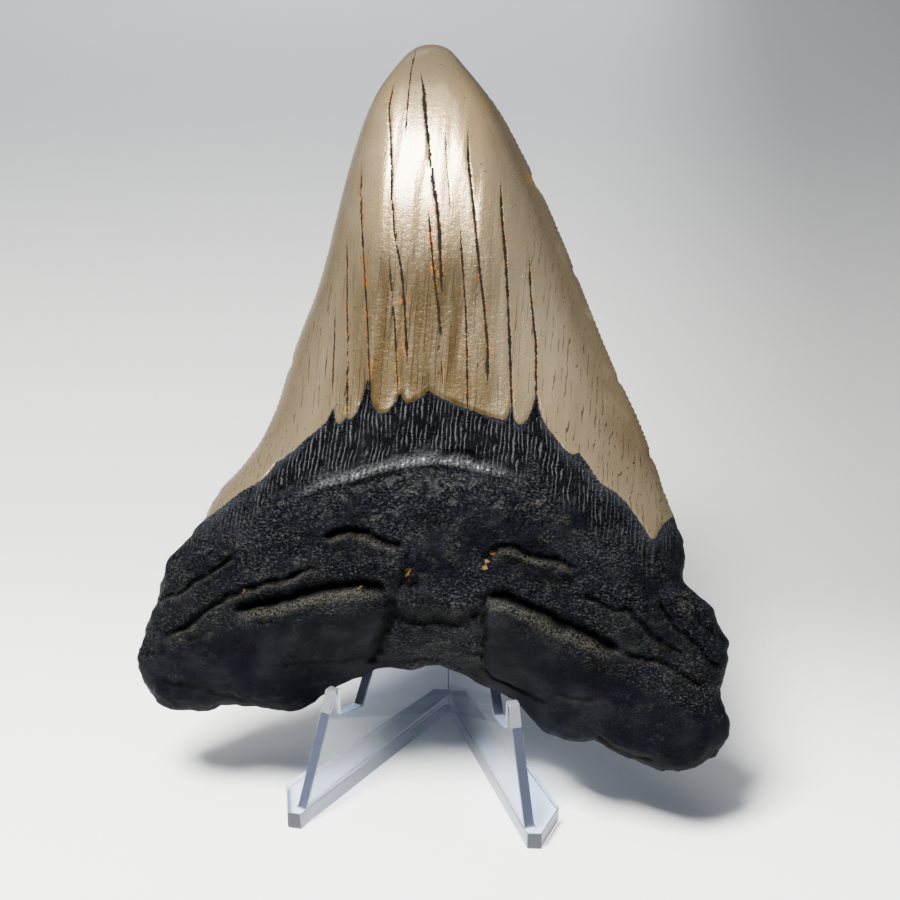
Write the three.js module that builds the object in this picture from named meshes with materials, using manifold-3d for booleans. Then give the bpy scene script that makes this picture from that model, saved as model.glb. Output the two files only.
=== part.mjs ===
// Fossil megalodon tooth on a clear moulded display stand.
//
// Frame: millimetres, +Z up, the stand's open side faces -Y.  The origin lies on the underside of the
// stand, in the solid web behind the corner where its two walls meet.  The tooth leans back on the stand
// with its rounded lingual face to the front and its flat labial face against the back-rests.

import * as THREE from 'three';
import { mergeVertices } from 'three/addons/utils/BufferGeometryUtils.js';
import Module from 'manifold-3d';

const wasm = await Module();
wasm.setup();

// ---------------------------------------------------------------- driving dimensions: stand
const WALL_THICKNESS = 2.2;
const WALL_LENGTH = 51.7;           // along the inner face, from the foot to the corner
const HALF_ANGLE = 25;              // degrees between each wall and the plane of symmetry
const CORNER_Y = -2.5;              // where the two inner faces meet
const BASE_THICKNESS = 3.5;
const WALL_HEIGHT = 46;
const KNEE = [9.9, 20.6];           // distance from the foot, height: the leg ends and the lip begins
const LIP_HEIGHT = 24.8;
const LIP_FRONT = 11.3;
const LIP_BACK = 13.7;
const LIP_ROUNDING = 0.85;
const NOTCH_FRONT = [13.6, 18.6];
const NOTCH_BACK = [20.7, 17.2];    // the back-rest rises from here
const REST_ROUNDING = 2;
const TOE = [24.6, -49.1];          // plan of the flange's right half, from front to back
const SHOULDER = [27.1, -39.5];
const HEEL = [4.9, 2];

// ---------------------------------------------------------------- driving dimensions: tooth
const LEAN = 27.5;                  // degrees that the tooth and the back-rests lean back
const SEAT = [0, -30.65, 17.2];     // foot of the back-rests: the tooth's own origin
const TOOTH_LIFT = 0.75;            // the root's rim stands this far up the back-rests from the seat
const TOOTH_CLEARANCE = 0.35;       // between the labial face and the back-rests
const ACROSS = 34;                  // facets from one cutting edge to the other
const UP = 42;                      // facets from the root's rim to the tip
const ARCH_ROUNDING = 15;           // height over which the root's rim rounds off in the arch
const LOBE_ROUNDING = 9;            // and under the two lobes, which are blunter
const LOBE_START = [20, 32];        // distance from the middle where the arch turns into a lobe
const LOBE_EDGE_LIFT = 4.5;         // how much nearer the front a lobe's rim lies
const TIP_ROUNDING = 18;
const LINGUAL_BLUNTNESS = 0.85;
const LABIAL_BLUNTNESS = 0.6;
const LOBE_BLUNTNESS = 0.5;

const radians = THREE.MathUtils.degToRad;

// ---------------------------------------------------------------- solids
function toSolid(geometry) {
  const bare = geometry.clone();
  bare.deleteAttribute('normal');
  bare.deleteAttribute('uv');
  const merged = mergeVertices(bare, 1e-4);
  return new wasm.Manifold(new wasm.Mesh({
    numProp: 3,
    vertProperties: new Float32Array(merged.attributes.position.array),
    triVerts: new Uint32Array(merged.index.array),
  }));
}

function toGeometry(solid) {
  const mesh = solid.getMesh();
  const geometry = new THREE.BufferGeometry();
  geometry.setAttribute('position', new THREE.BufferAttribute(new Float32Array(mesh.vertProperties), 3));
  geometry.setIndex(new THREE.BufferAttribute(new Uint32Array(mesh.triVerts), 1));
  geometry.computeVertexNormals();
  return geometry;
}

// ---------------------------------------------------------------- stand
// Side view of one wall: x runs from the foot towards the corner, y is height.
function wallOutline(length) {
  const restRise = WALL_HEIGHT - NOTCH_BACK[1];
  const restRun = restRise * Math.tan(radians(LEAN)) / Math.cos(radians(HALF_ANGLE));
  const restTop = NOTCH_BACK[0] + restRun;
  const outline = new THREE.Shape();
  outline.moveTo(0, 0);
  outline.lineTo(length, 0);
  outline.lineTo(length, WALL_HEIGHT);
  outline.lineTo(restTop + REST_ROUNDING, WALL_HEIGHT);
  const below = REST_ROUNDING * restRun / restRise;
  outline.quadraticCurveTo(restTop, WALL_HEIGHT, restTop - below, WALL_HEIGHT - REST_ROUNDING);
  outline.lineTo(...NOTCH_BACK);
  outline.lineTo(...NOTCH_FRONT);
  outline.lineTo(LIP_BACK, LIP_HEIGHT - LIP_ROUNDING);
  outline.quadraticCurveTo(LIP_BACK, LIP_HEIGHT, LIP_BACK - LIP_ROUNDING, LIP_HEIGHT);
  outline.lineTo(LIP_FRONT + LIP_ROUNDING, LIP_HEIGHT);
  outline.quadraticCurveTo(LIP_FRONT, LIP_HEIGHT, LIP_FRONT, LIP_HEIGHT - LIP_ROUNDING);
  outline.lineTo(...KNEE);
  outline.lineTo(0, 0);
  return outline;
}

// One wall, side = +1 for the right and -1 for the left, cut off at the plane of symmetry.
function wallSolid(side) {
  const overrun = 2 * WALL_THICKNESS / Math.tan(radians(HALF_ANGLE));
  const geometry = new THREE.ExtrudeGeometry(wallOutline(WALL_LENGTH + overrun), {
    depth: WALL_THICKNESS, bevelEnabled: false, curveSegments: 3,
  });
  const sine = Math.sin(radians(HALF_ANGLE));
  const cosine = Math.cos(radians(HALF_ANGLE));
  const along = new THREE.Vector3(-side * sine, cosine, 0);
  const up = new THREE.Vector3(0, 0, 1);
  const through = new THREE.Vector3().crossVectors(along, up);
  const foot = new THREE.Vector3(side * WALL_LENGTH * sine, CORNER_Y - WALL_LENGTH * cosine, 0);
  if (through.x * side < 0) {
    foot.addScaledVector(through, -WALL_THICKNESS);
  }
  geometry.applyMatrix4(new THREE.Matrix4().makeBasis(along, up, through).setPosition(foot));
  const reach = 4 * WALL_LENGTH;
  const half = new THREE.BoxGeometry(reach, reach, reach).translate(side * reach / 2, 0, 0);
  return toSolid(geometry).intersect(toSolid(half));
}

// The flat flange that the walls stand on: a V cut square across the back, with chamfered toes.
function baseSolid() {
  const toeX = WALL_LENGTH * Math.sin(radians(HALF_ANGLE));
  const toeY = CORNER_Y - WALL_LENGTH * Math.cos(radians(HALF_ANGLE));
  const right = [[toeX, toeY], TOE, SHOULDER, HEEL];
  const left = right.map(([x, y]) => [-x, y]).reverse();
  const outline = new THREE.Shape();
  outline.moveTo(0, CORNER_Y);
  for (const [x, y] of [...right, ...left]) {
    outline.lineTo(x, y);
  }
  outline.lineTo(0, CORNER_Y);
  return toSolid(new THREE.ExtrudeGeometry(outline, { depth: BASE_THICKNESS, bevelEnabled: false }));
}

function makeStand() {
  const walls = wallSolid(1).add(wallSolid(-1));
  const material = new THREE.MeshStandardMaterial({
    color: 0xdfe4f2, roughness: 0.06, metalness: 0, transparent: true, opacity: 0.35,
  });
  const stand = new THREE.Mesh(toGeometry(walls.add(baseSolid())), material);
  stand.name = 'stand';
  return stand;
}

// ---------------------------------------------------------------- tooth outline
// Points are [across, up] in the tooth's own plane, measured from the seat.
const LEFT_SIDE = [
  [-54.6, -0.8], [-56.8, 4.5], [-55.4, 11.5], [-53.1, 17.5], [-51.5, 24.5], [-45.6, 32], [-42, 40], [-36.8, 48.6],
  [-33.4, 57.4], [-30.6, 69.7], [-27, 82], [-24.7, 94.3], [-22.4, 106.7], [-18.9, 119], [-12.7, 129],
];
const RIGHT_SIDE = [
  [56.6, -4.8], [58.4, 1.5], [56.9, 7.5], [57.7, 15], [54.6, 22.8], [48.8, 27.6], [48, 34.2], [44.8, 42.8],
  [39, 57], [32.8, 68.8], [26.6, 82], [20.1, 96], [13.2, 109], [6.4, 120], [-2, 129.6],
];
const ROOT_RIM = [
  [-54.6, -0.8], [-47.5, -4], [-37, -2], [-25.5, -2], [-17.5, 3], [-10, 6.4], [-3.5, 7.6], [3, 8.4], [10, 5.8],
  [17.5, 2.5], [24, -3], [33, -3.7], [41, -6.6], [49.5, -7.9], [56.6, -4.8],
];
const TIP = [[-12.7, 129], [-10.2, 131.4], [-7.2, 132.1], [-4.2, 131.4], [-2, 129.6]];

// Height of the face above the labial plane, by distance up from the seat.
const LINGUAL_CREST = [
  [-8, 19], [8, 17], [16, 21], [26, 24.8], [38, 26.8], [46, 25.5], [52, 24.2], [58, 23.3], [66, 22.8],
  [76, 22.6], [86, 22.9], [97, 22.6], [105, 21.6], [112, 20.1], [119, 17.9], [126, 15], [133, 12],
];
const LABIAL_CREST = [[-8, 0], [45, 0], [60, 0.6], [80, 1.2], [110, 2.4], [133, 3.6]];
const EDGE_HEIGHT = [[-8, 3.6], [3, 3.6], [14, 7.5], [35, 8.5], [50, 7], [80, 6], [133, 5.6]];

function curveThrough(points) {
  const corners = points.map(([x, y]) => new THREE.Vector3(x, y, 0));
  return new THREE.CatmullRomCurve3(corners, false, 'catmullrom', 0.5);
}

const leftCurve = curveThrough(LEFT_SIDE);
const rightCurve = curveThrough(RIGHT_SIDE);
const rimCurve = curveThrough(ROOT_RIM);
const tipCurve = curveThrough(TIP);

function alongTable(table, value) {
  let index = 0;
  while (index < table.length - 2 && value > table[index + 1][0]) {
    index += 1;
  }
  const [[from, low], [to, high]] = [table[index], table[index + 1]];
  const share = THREE.MathUtils.clamp((value - from) / (to - from), 0, 1);
  return low + (high - low) * share;
}

// A patch stretched between the four edge curves: a runs left to right, b from the rim to the tip.
function patchPoint(a, b) {
  const left = leftCurve.getPointAt(b);
  const right = rightCurve.getPointAt(b);
  const rim = rimCurve.getPointAt(a);
  const tip = tipCurve.getPointAt(a);
  const corner = (p, q, r, s, key) => (1 - a) * (1 - b) * p[key] + a * (1 - b) * q[key]
    + (1 - a) * b * r[key] + a * b * s[key];
  const corners = [rimCurve.getPoint(0), rimCurve.getPoint(1), tipCurve.getPoint(0), tipCurve.getPoint(1)];
  const blend = (key) => (1 - a) * left[key] + a * right[key] + (1 - b) * rim[key] + b * tip[key]
    - corner(...corners, key);
  return { x: blend('x'), y: blend('y'), aboveRim: blend('y') - rim.y, belowTip: tip.y - blend('y') };
}

// 1 in the root, 0 in the crown.
function rootShare(place) {
  return 1 - THREE.MathUtils.smoothstep(place.y, 28, 55);
}

// How far a face has risen from the edge towards its crest, 0 to 1.
function rise(a, place, lobe, bluntness) {
  const side = Math.abs(2 * a - 1);
  const rooty = rootShare(place);
  const rounding = THREE.MathUtils.lerp(ARCH_ROUNDING, LOBE_ROUNDING, lobe);
  const across = (1 - side ** (4.2 - 0.2 * rooty)) ** (1 - 0.5 * rooty);
  const fromRim = THREE.MathUtils.clamp(place.aboveRim / rounding, 0, 1);
  const fromTip = THREE.MathUtils.clamp(place.belowTip / TIP_ROUNDING, 0, 1);
  const upward = (1 - (1 - fromRim) ** 2.2) ** THREE.MathUtils.lerp(bluntness, LOBE_BLUNTNESS, lobe);
  const downward = Math.sqrt(1 - (1 - fromTip) ** 2.5);
  return across * upward * downward;
}

function facePoint(a, b, crest, bluntness) {
  const place = patchPoint(a, b);
  const lobe = THREE.MathUtils.smoothstep(Math.abs(place.x), ...LOBE_START) * rootShare(place);
  const edge = alongTable(EDGE_HEIGHT, place.y) + lobe * LOBE_EDGE_LIFT;
  const top = alongTable(crest, place.y);
  return [place.x, place.y, edge + (top - edge) * rise(a, place, lobe, bluntness)];
}

// Steps from 0 to 1 that crowd together towards both ends.
function crowded(count, strength) {
  return Array.from({ length: count + 1 }, (_, k) => {
    const even = k / count;
    const eased = (1 - Math.cos(Math.PI * even)) / 2;
    return even + (eased - even) * strength;
  });
}

function toothGeometry() {
  const acrossSteps = crowded(ACROSS, 0.75);
  const upSteps = crowded(UP, 0.45);
  const positions = [];
  const triangles = [];
  const row = ACROSS + 1;
  const isEdge = (i, j) => i === 0 || j === 0 || i === ACROSS || j === UP;
  const numbers = { front: [], back: [] };
  for (let j = 0; j <= UP; j += 1) {
    for (let i = 0; i <= ACROSS; i += 1) {
      numbers.front.push(positions.length / 3);
      positions.push(...facePoint(acrossSteps[i], upSteps[j], LINGUAL_CREST, LINGUAL_BLUNTNESS));
    }
  }
  for (let j = 0; j <= UP; j += 1) {
    for (let i = 0; i <= ACROSS; i += 1) {
      if (isEdge(i, j)) {
        numbers.back.push(numbers.front[j * row + i]);
      } else {
        numbers.back.push(positions.length / 3);
        positions.push(...facePoint(acrossSteps[i], upSteps[j], LABIAL_CREST, LABIAL_BLUNTNESS));
      }
    }
  }
  for (let j = 0; j < UP; j += 1) {
    for (let i = 0; i < ACROSS; i += 1) {
      const corners = [j * row + i, j * row + i + 1, (j + 1) * row + i + 1, (j + 1) * row + i];
      const outermost = i === 0 || j === 0 || i === ACROSS - 1 || j === UP - 1;
      const swap = (i < ACROSS / 2) === (j < UP / 2) && outermost;
      const split = swap ? [[1, 2, 3], [1, 3, 0]] : [[0, 1, 2], [0, 2, 3]];
      for (const [p, q, r] of split) {
        triangles.push(...[p, q, r].map((k) => numbers.front[corners[k]]));
        triangles.push(...[p, r, q].map((k) => numbers.back[corners[k]]));
      }
    }
  }
  const geometry = new THREE.BufferGeometry();
  geometry.setAttribute('position', new THREE.BufferAttribute(new Float32Array(positions), 3));
  geometry.setIndex(triangles);
  geometry.computeVertexNormals();
  return geometry;
}

function makeTooth() {
  const lean = radians(LEAN);
  const across = new THREE.Vector3(1, 0, 0);
  const up = new THREE.Vector3(0, Math.sin(lean), Math.cos(lean));
  const front = new THREE.Vector3(0, -Math.cos(lean), Math.sin(lean));
  const seat = new THREE.Vector3(...SEAT);
  seat.addScaledVector(up, TOOTH_LIFT);
  seat.addScaledVector(front, TOOTH_CLEARANCE);
  const geometry = toothGeometry();
  geometry.applyMatrix4(new THREE.Matrix4().makeBasis(across, up, front).setPosition(seat));
  const material = new THREE.MeshStandardMaterial({ color: 0x6b5f4c, roughness: 0.45, metalness: 0 });
  const tooth = new THREE.Mesh(geometry, material);
  tooth.name = 'tooth';
  return tooth;
}

// ---------------------------------------------------------------- the whole object
const megalodonTooth = new THREE.Group();
megalodonTooth.name = 'megalodon_tooth_on_stand';
megalodonTooth.add(makeTooth());
megalodonTooth.add(makeStand());

export default megalodonTooth;
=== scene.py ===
"""Fossil megalodon tooth leaning on a clear moulded display stand.

The tooth is one mesh, worked out from its edge curves, crest heights, cracks and crevices in the tooth's
own plane.  The stand is one clear moulding: two upright walls that meet in a V on a flat flange.
"""

import logging
import math
from dataclasses import dataclass
from enum import Enum
from typing import Optional, Sequence

import bmesh
import bpy
import numpy as np
from mathutils import Matrix, Vector


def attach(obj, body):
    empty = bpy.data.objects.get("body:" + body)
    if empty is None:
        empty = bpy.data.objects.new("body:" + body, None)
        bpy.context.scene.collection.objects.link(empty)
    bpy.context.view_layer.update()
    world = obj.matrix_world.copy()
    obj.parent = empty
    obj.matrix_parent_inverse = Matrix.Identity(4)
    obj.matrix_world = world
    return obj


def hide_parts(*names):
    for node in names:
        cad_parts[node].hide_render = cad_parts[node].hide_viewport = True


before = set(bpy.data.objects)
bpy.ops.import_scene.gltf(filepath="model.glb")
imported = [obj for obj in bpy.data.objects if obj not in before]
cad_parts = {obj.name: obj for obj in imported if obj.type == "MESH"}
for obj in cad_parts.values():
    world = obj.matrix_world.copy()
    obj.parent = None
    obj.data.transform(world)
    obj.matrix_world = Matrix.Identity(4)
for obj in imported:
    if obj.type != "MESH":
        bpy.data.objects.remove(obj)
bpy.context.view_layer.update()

MM = 0.001
LOG = logging.getLogger("megalodon_tooth")

Route = Sequence[tuple[float, float]]
Span = tuple[float, float]
Point = tuple[float, float]
Colour = tuple[float, float, float]
Place = tuple[float, float, float]
Level = float | np.ndarray
Masks = dict[str, np.ndarray]
Socket = bpy.types.NodeSocket
NodeTree = bpy.types.NodeTree


# ---------------------------------------------------------------- number tools
def smoothstep(value: np.ndarray, low: Level, high: Level) -> np.ndarray:
    """Eases from 0 at low to 1 at high.

    Args:
        value: The values to ease.
        low: Where the result leaves 0.
        high: Where the result reaches 1.

    Returns:
        An array of the same shape, from 0 to 1.
    """
    share = np.clip((value - low) / (high - low), 0.0, 1.0)
    return share * share * (3.0 - 2.0 * share)


def plateau(value: np.ndarray, rise: tuple[Level, Level], fall: tuple[Level, Level]) -> np.ndarray:
    """Eases from 0 to 1 over the rise, and back to 0 over the fall.

    Args:
        value: The values to ease.
        rise: Where the result leaves 0 and where it reaches 1.
        fall: Where the result leaves 1 and where it is back at 0.

    Returns:
        An array of the same shape, from 0 to 1.
    """
    return smoothstep(value, *rise) * (1.0 - smoothstep(value, *fall))


def bell(away: np.ndarray, width: Level) -> np.ndarray:
    """A smooth bump that is 1 where away is 0.

    Args:
        away: Distance from its middle.
        width: Where it has sunk to about a third.

    Returns:
        An array of the same shape, from 0 to 1.
    """
    return np.exp(-((away / width) ** 2))


def between(table: Route, value: np.ndarray) -> np.ndarray:
    """Reads a table of (place, amount) pairs with straight lines between them.

    Args:
        table: The pairs, in order of place.
        value: The places to read.

    Returns:
        The amount at each place.
    """
    places, amounts = zip(*table)
    return np.interp(value, places, amounts)


def eased(table: Route, value: np.ndarray) -> np.ndarray:
    """Reads a table of (place, amount) pairs with a smooth curve through them.

    Args:
        table: The pairs, in order of place.
        value: The places to read.

    Returns:
        The amount at each place.
    """
    places, amounts = (np.array(column, dtype=float) for column in zip(*table))
    slopes = np.gradient(amounts, places)
    index = np.clip(np.searchsorted(places, value) - 1, 0, len(places) - 2)
    width = places[index + 1] - places[index]
    share = np.clip((value - places[index]) / width, 0.0, 1.0)
    turn = share * share * (3.0 - 2.0 * share)
    start, end = slopes[index] * width, slopes[index + 1] * width
    lift = start * share * (1 - share) ** 2 - end * share**2 * (1 - share)
    return amounts[index] * (1 - turn) + amounts[index + 1] * turn + lift


class Noise:
    """Smooth gradient noise in three dimensions, the same on every run."""

    def __init__(self, seed: int) -> None:
        """Shuffles the lattice.

        Args:
            seed: Picks one noise out of many.
        """
        draw = np.random.default_rng(seed)
        self.order = np.tile(draw.permutation(256), 3)
        slopes = draw.normal(size=(256, 3))
        self.slopes = slopes / np.linalg.norm(slopes, axis=1, keepdims=True)

    def plain(self, points: np.ndarray) -> np.ndarray:
        """One layer of noise with a lattice of 1.

        Args:
            points: Places, (..., 3).

        Returns:
            About -1 to 1 at each place.
        """
        cell = np.floor(points).astype(int)
        inside = points - cell
        cell %= 256
        ease = inside**3 * (inside * (inside * 6.0 - 15.0) + 10.0)
        total = np.zeros(points.shape[:-1])
        for corner in np.ndindex(2, 2, 2):
            x, y, z = (cell[..., axis] + corner[axis] for axis in range(3))
            pick = self.order[self.order[self.order[x] + y] + z]
            reach = inside - np.array(corner)
            weight = np.prod(np.where(corner, ease, 1.0 - ease), axis=-1)
            total += weight * np.einsum("...k,...k->...", self.slopes[pick], reach)
        return total * 1.6

    def layered(self, points: np.ndarray, size: Sequence[float], layers: int = 3) -> np.ndarray:
        """Several layers of noise, each half the size and strength of the last.

        Args:
            points: Places in millimetres, (..., 3).
            size: Width of the largest features along each axis.
            layers: How many layers.

        Returns:
            About -1 to 1 at each place.
        """
        scaled = points / np.asarray(size, dtype=float)
        total = np.zeros(points.shape[:-1])
        for layer in range(layers):
            total += self.plain(scaled * 2.0**layer + 17.3 * layer) * 0.5**layer
        return total


class Curve:
    """A smooth curve through given points, read by its share of the length."""

    STEPS = 60

    def __init__(self, points: Route) -> None:
        """Samples the curve finely.

        Args:
            points: What the curve passes through.
        """
        knots = np.array(points, dtype=float)
        knots = np.vstack([2 * knots[0] - knots[1], knots, 2 * knots[-1] - knots[-2]])
        share = np.linspace(0.0, 1.0, self.STEPS, endpoint=False)[:, None]
        pieces = []
        for index in range(1, len(knots) - 2):
            before, start, end, after = knots[index - 1 : index + 3]
            slope = end - before
            bend = 2 * before - 5 * start + 4 * end - after
            twist = 3 * start - before - 3 * end + after
            pieces.append(0.5 * (2 * start + slope * share + bend * share**2 + twist * share**3))
        self.points = np.vstack([*pieces, knots[-2][None]])
        steps = np.hypot(*np.diff(self.points, axis=0).T)
        self.share = np.concatenate([[0.0], np.cumsum(steps)]) / steps.sum()

    def at(self, share: np.ndarray) -> np.ndarray:
        """Points at given shares of the length, (n, 2)."""
        return np.stack([np.interp(share, self.share, self.points[:, axis]) for axis in (0, 1)], axis=-1)


def route_distance(x: np.ndarray, y: np.ndarray, route: Route) -> tuple[np.ndarray, np.ndarray]:
    """Distance from points to a broken line.

    Args:
        x: Places across the tooth.
        y: Places up the tooth.
        route: The line's points, left to right.

    Returns:
        The distance, positive below the line, and how far along it the nearest point is, 0 to 1.
    """
    corners = np.array(route, dtype=float)
    lengths = np.hypot(*np.diff(corners, axis=0).T)
    before = np.concatenate([[0.0], np.cumsum(lengths)])
    nearest = np.full(x.shape, np.inf)
    signed = np.zeros(x.shape)
    along = np.zeros(x.shape)
    for index, (start, end) in enumerate(zip(corners[:-1], corners[1:])):
        step = (end - start) / lengths[index]
        across_x, across_y = x - start[0], y - start[1]
        share = np.clip(across_x * step[0] + across_y * step[1], 0.0, lengths[index])
        away = np.hypot(across_x - share * step[0], across_y - share * step[1])
        side = np.where(step[1] * across_x - step[0] * across_y >= 0.0, 1.0, -1.0)
        closer = away < nearest
        nearest = np.where(closer, away, nearest)
        signed = np.where(closer, away * side, signed)
        along = np.where(closer, (before[index] + share) / before[-1], along)
    return signed, along


# ---------------------------------------------------------------- node tools
class Graph:
    """Short words for building a node tree."""

    def __init__(self, tree: NodeTree) -> None:
        """Starts on an emptied tree.

        Args:
            tree: The tree to build in.
        """
        self.tree = tree
        tree.nodes.clear()

    def add(self, kind: str, settings: Optional[dict] = None, **sockets: object) -> bpy.types.Node:
        """Adds a node.

        Args:
            kind: The node's type without its ShaderNode prefix.
            settings: Properties of the node.
            **sockets: Input values or sockets to link, by input name with _ for a space.

        Returns:
            The node.
        """
        prefix = "" if kind.startswith("NodeGroup") else "ShaderNode"
        node = self.tree.nodes.new(prefix + kind)
        for name, value in (settings or {}).items():
            setattr(node, name, value)
        for name, value in sockets.items():
            self.feed(node.inputs[name.replace("_", " ")], value)
        return node

    def feed(self, socket: Socket, value: object) -> None:
        """Links a socket, or sets its value.

        Args:
            socket: The input to feed.
            value: An output to link from, or a plain value.
        """
        if isinstance(value, Socket):
            self.tree.links.new(value, socket)
        else:
            socket.default_value = value

    def math(self, operation: str, *values: object, clamp: bool = False) -> Socket:
        """A Math node on up to three values.

        Args:
            operation: The node's operation.
            *values: Numbers or sockets, in the node's order.
            clamp: Whether the result is held between 0 and 1.

        Returns:
            The result.
        """
        node = self.add("Math", {"operation": operation, "use_clamp": clamp})
        for socket, value in zip(node.inputs, values):
            self.feed(socket, value)
        return node.outputs[0]

    def times(self, first: object, *others: object) -> Socket:
        """The product of all the values.

        Args:
            first: The first factor.
            *others: The other factors.

        Returns:
            The product.
        """
        for other in others:
            first = self.math("MULTIPLY", first, other)
        return first

    def plus(self, first: object, second: object) -> Socket:
        """The sum of two values."""
        return self.math("ADD", first, second)

    def minus(self, first: object, second: object) -> Socket:
        """The first value less the second."""
        return self.math("SUBTRACT", first, second)

    def line(self, value: object, slope: object, start: object) -> Socket:
        """The value times a slope, and a start added."""
        return self.math("MULTIPLY_ADD", value, slope, start)

    def away(self, value: object, place: object) -> Socket:
        """How far a value is from a place, on either side of it."""
        return self.math("ABSOLUTE", self.minus(value, place))

    def ramp(self, value: object, low: float, high: float) -> Socket:
        """Eases from 0 at low to 1 at high, or the other way round if high is under low.

        Args:
            value: The value to ease.
            low: Where the result is 0.
            high: Where the result is 1.

        Returns:
            The result, from 0 to 1.
        """
        flip = high < low
        settings = {"interpolation_type": "SMOOTHSTEP"}
        node = self.add("MapRange", settings, Value=value, From_Min=min(low, high), From_Max=max(low, high))
        node.inputs["To Min"].default_value = float(flip)
        node.inputs["To Max"].default_value = float(not flip)
        return node.outputs["Result"]

    def mix(self, share: object, first: object, second: object) -> Socket:
        """Mixes two colours.

        Args:
            share: How much of the second colour there is.
            first: The first colour.
            second: The second colour.

        Returns:
            The mixed colour.
        """
        node = self.add("Mix", {"data_type": "RGBA"})
        self.feed(node.inputs[0], share)
        for socket, value in ((node.inputs[6], first), (node.inputs[7], second)):
            self.feed(socket, (*value, 1.0) if isinstance(value, tuple) else value)
        return node.outputs[2]

    def layers(self, colour: object, coats: Sequence[tuple[object, float, Colour]]) -> Socket:
        """Lays colours over one another.

        Args:
            colour: The colour at the bottom.
            coats: The mask, the strength and the colour of each layer, in order.

        Returns:
            The colour that shows.
        """
        for mask, strength, paint in coats:
            share = mask if strength == 1.0 else self.times(mask, strength)
            colour = self.mix(share, colour, paint)
        return colour

    def noise(self, vector: object, size: float, detail: float, scale: Optional[Place] = None) -> Socket:
        """Noise from 0 to 1.

        Args:
            vector: The places to read.
            size: Width of its features.
            detail: How many finer layers it has.
            scale: How far each axis is shrunk first, if at all; under 1 draws the features out along it.

        Returns:
            The noise.
        """
        if scale is not None:
            stretch = self.add("VectorMath", {"operation": "MULTIPLY"})
            self.feed(stretch.inputs[0], vector)
            stretch.inputs[1].default_value = scale
            vector = stretch.outputs[0]
        node = self.add("TexNoise", Vector=vector, Scale=1.0 / size, Detail=detail, Roughness=0.6)
        return node.outputs["Fac"]

    def read(self, name: str) -> Socket:
        """A number held by the mesh."""
        return self.add("Attribute", {"attribute_name": name}).outputs["Fac"]

    def group(self, tree: NodeTree, **sockets: object) -> bpy.types.Node:
        """A node group with its inputs fed.

        Args:
            tree: The group's tree.
            **sockets: Input values or sockets to link, by input name with _ for a space.

        Returns:
            The group's node.
        """
        node = self.tree.nodes.new("ShaderNodeGroup")
        node.node_tree = tree
        for name, value in sockets.items():
            self.feed(node.inputs[name.replace("_", " ")], value)
        return node


def new_group(name: str, inputs: dict[str, float], outputs: dict[str, str]) -> tuple:
    """Makes an empty node group with named sockets.

    Args:
        name: The group's name.
        inputs: Each number input and its default; a default of None makes a vector.
        outputs: Each output and its socket type.

    Returns:
        The group's tree, its graph, its input node and its output node.
    """
    tree = bpy.data.node_groups.new(name, "ShaderNodeTree")
    graph = Graph(tree)
    for label, value in inputs.items():
        kind = "NodeSocketVector" if value is None else "NodeSocketFloat"
        socket = tree.interface.new_socket(label, in_out="INPUT", socket_type=kind)
        if value is not None:
            socket.default_value = value
    for label, kind in outputs.items():
        tree.interface.new_socket(label, in_out="OUTPUT", socket_type=kind)
    return tree, graph, graph.add("NodeGroupInput"), graph.add("NodeGroupOutput")


def mottle_group() -> NodeTree:
    """Cloudy variation with fine grain, for mineral, plastic and paper alike.

    Returns:
        A group that turns a place and two feature sizes into a Cloud mask and a Grain mask.
    """
    sizes = {"Vector": None, "Cloud Size": 8.0, "Grain Size": 0.5}
    tree, graph, start, end = new_group(
        "mottle", sizes, {"Cloud": "NodeSocketFloat", "Grain": "NodeSocketFloat"}
    )
    for label, detail in (("Cloud", 4.0), ("Grain", 2.0)):
        scale = graph.math("DIVIDE", 1.0, start.outputs[f"{label} Size"])
        texture = graph.add("TexNoise", Vector=start.outputs["Vector"], Scale=scale, Detail=detail)
        graph.feed(end.inputs[label], texture.outputs["Fac"])
    return tree


def new_material(name: str) -> tuple[bpy.types.Material, Graph]:
    """Makes an empty node material.

    Args:
        name: The material's name.

    Returns:
        The material and the graph of its tree.
    """
    material = bpy.data.materials.new(name)
    material.use_nodes = True
    return material, Graph(material.node_tree)


def add_object(name: str, mesh: bpy.types.Mesh, material: bpy.types.Material) -> bpy.types.Object:
    """Puts a mesh in the scene with its material.

    Args:
        name: The piece's name.
        mesh: Its mesh, in metres.
        material: Its finish.

    Returns:
        The object.
    """
    mesh.materials.append(material)
    piece = bpy.data.objects.new(name, mesh)
    bpy.context.scene.collection.objects.link(piece)
    return piece


# ---------------------------------------------------------------- tooth: what is drawn on it
class Face(Enum):
    """The two faces of a shark's tooth."""

    LINGUAL = "lingual"
    LABIAL = "labial"


@dataclass(frozen=True)
class Crack:
    """A crack that runs along the crown, from the tip's end to the root's end."""

    route: Route
    width: float = 0.22
    depth: float = 0.3
    stain: float = 0.0


@dataclass(frozen=True)
class Crevice:
    """A crevice across the root, left to right, with a ledge of rock under it."""

    route: Route
    width: float = 0.7
    depth: float = 1.2
    ledge: float = 0.0
    reach: float = 7.0
    # How strongly the ledge's rim is painted with dust and with light.
    dust_and_light: float = 0.0
    band: float = 0.7


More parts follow.
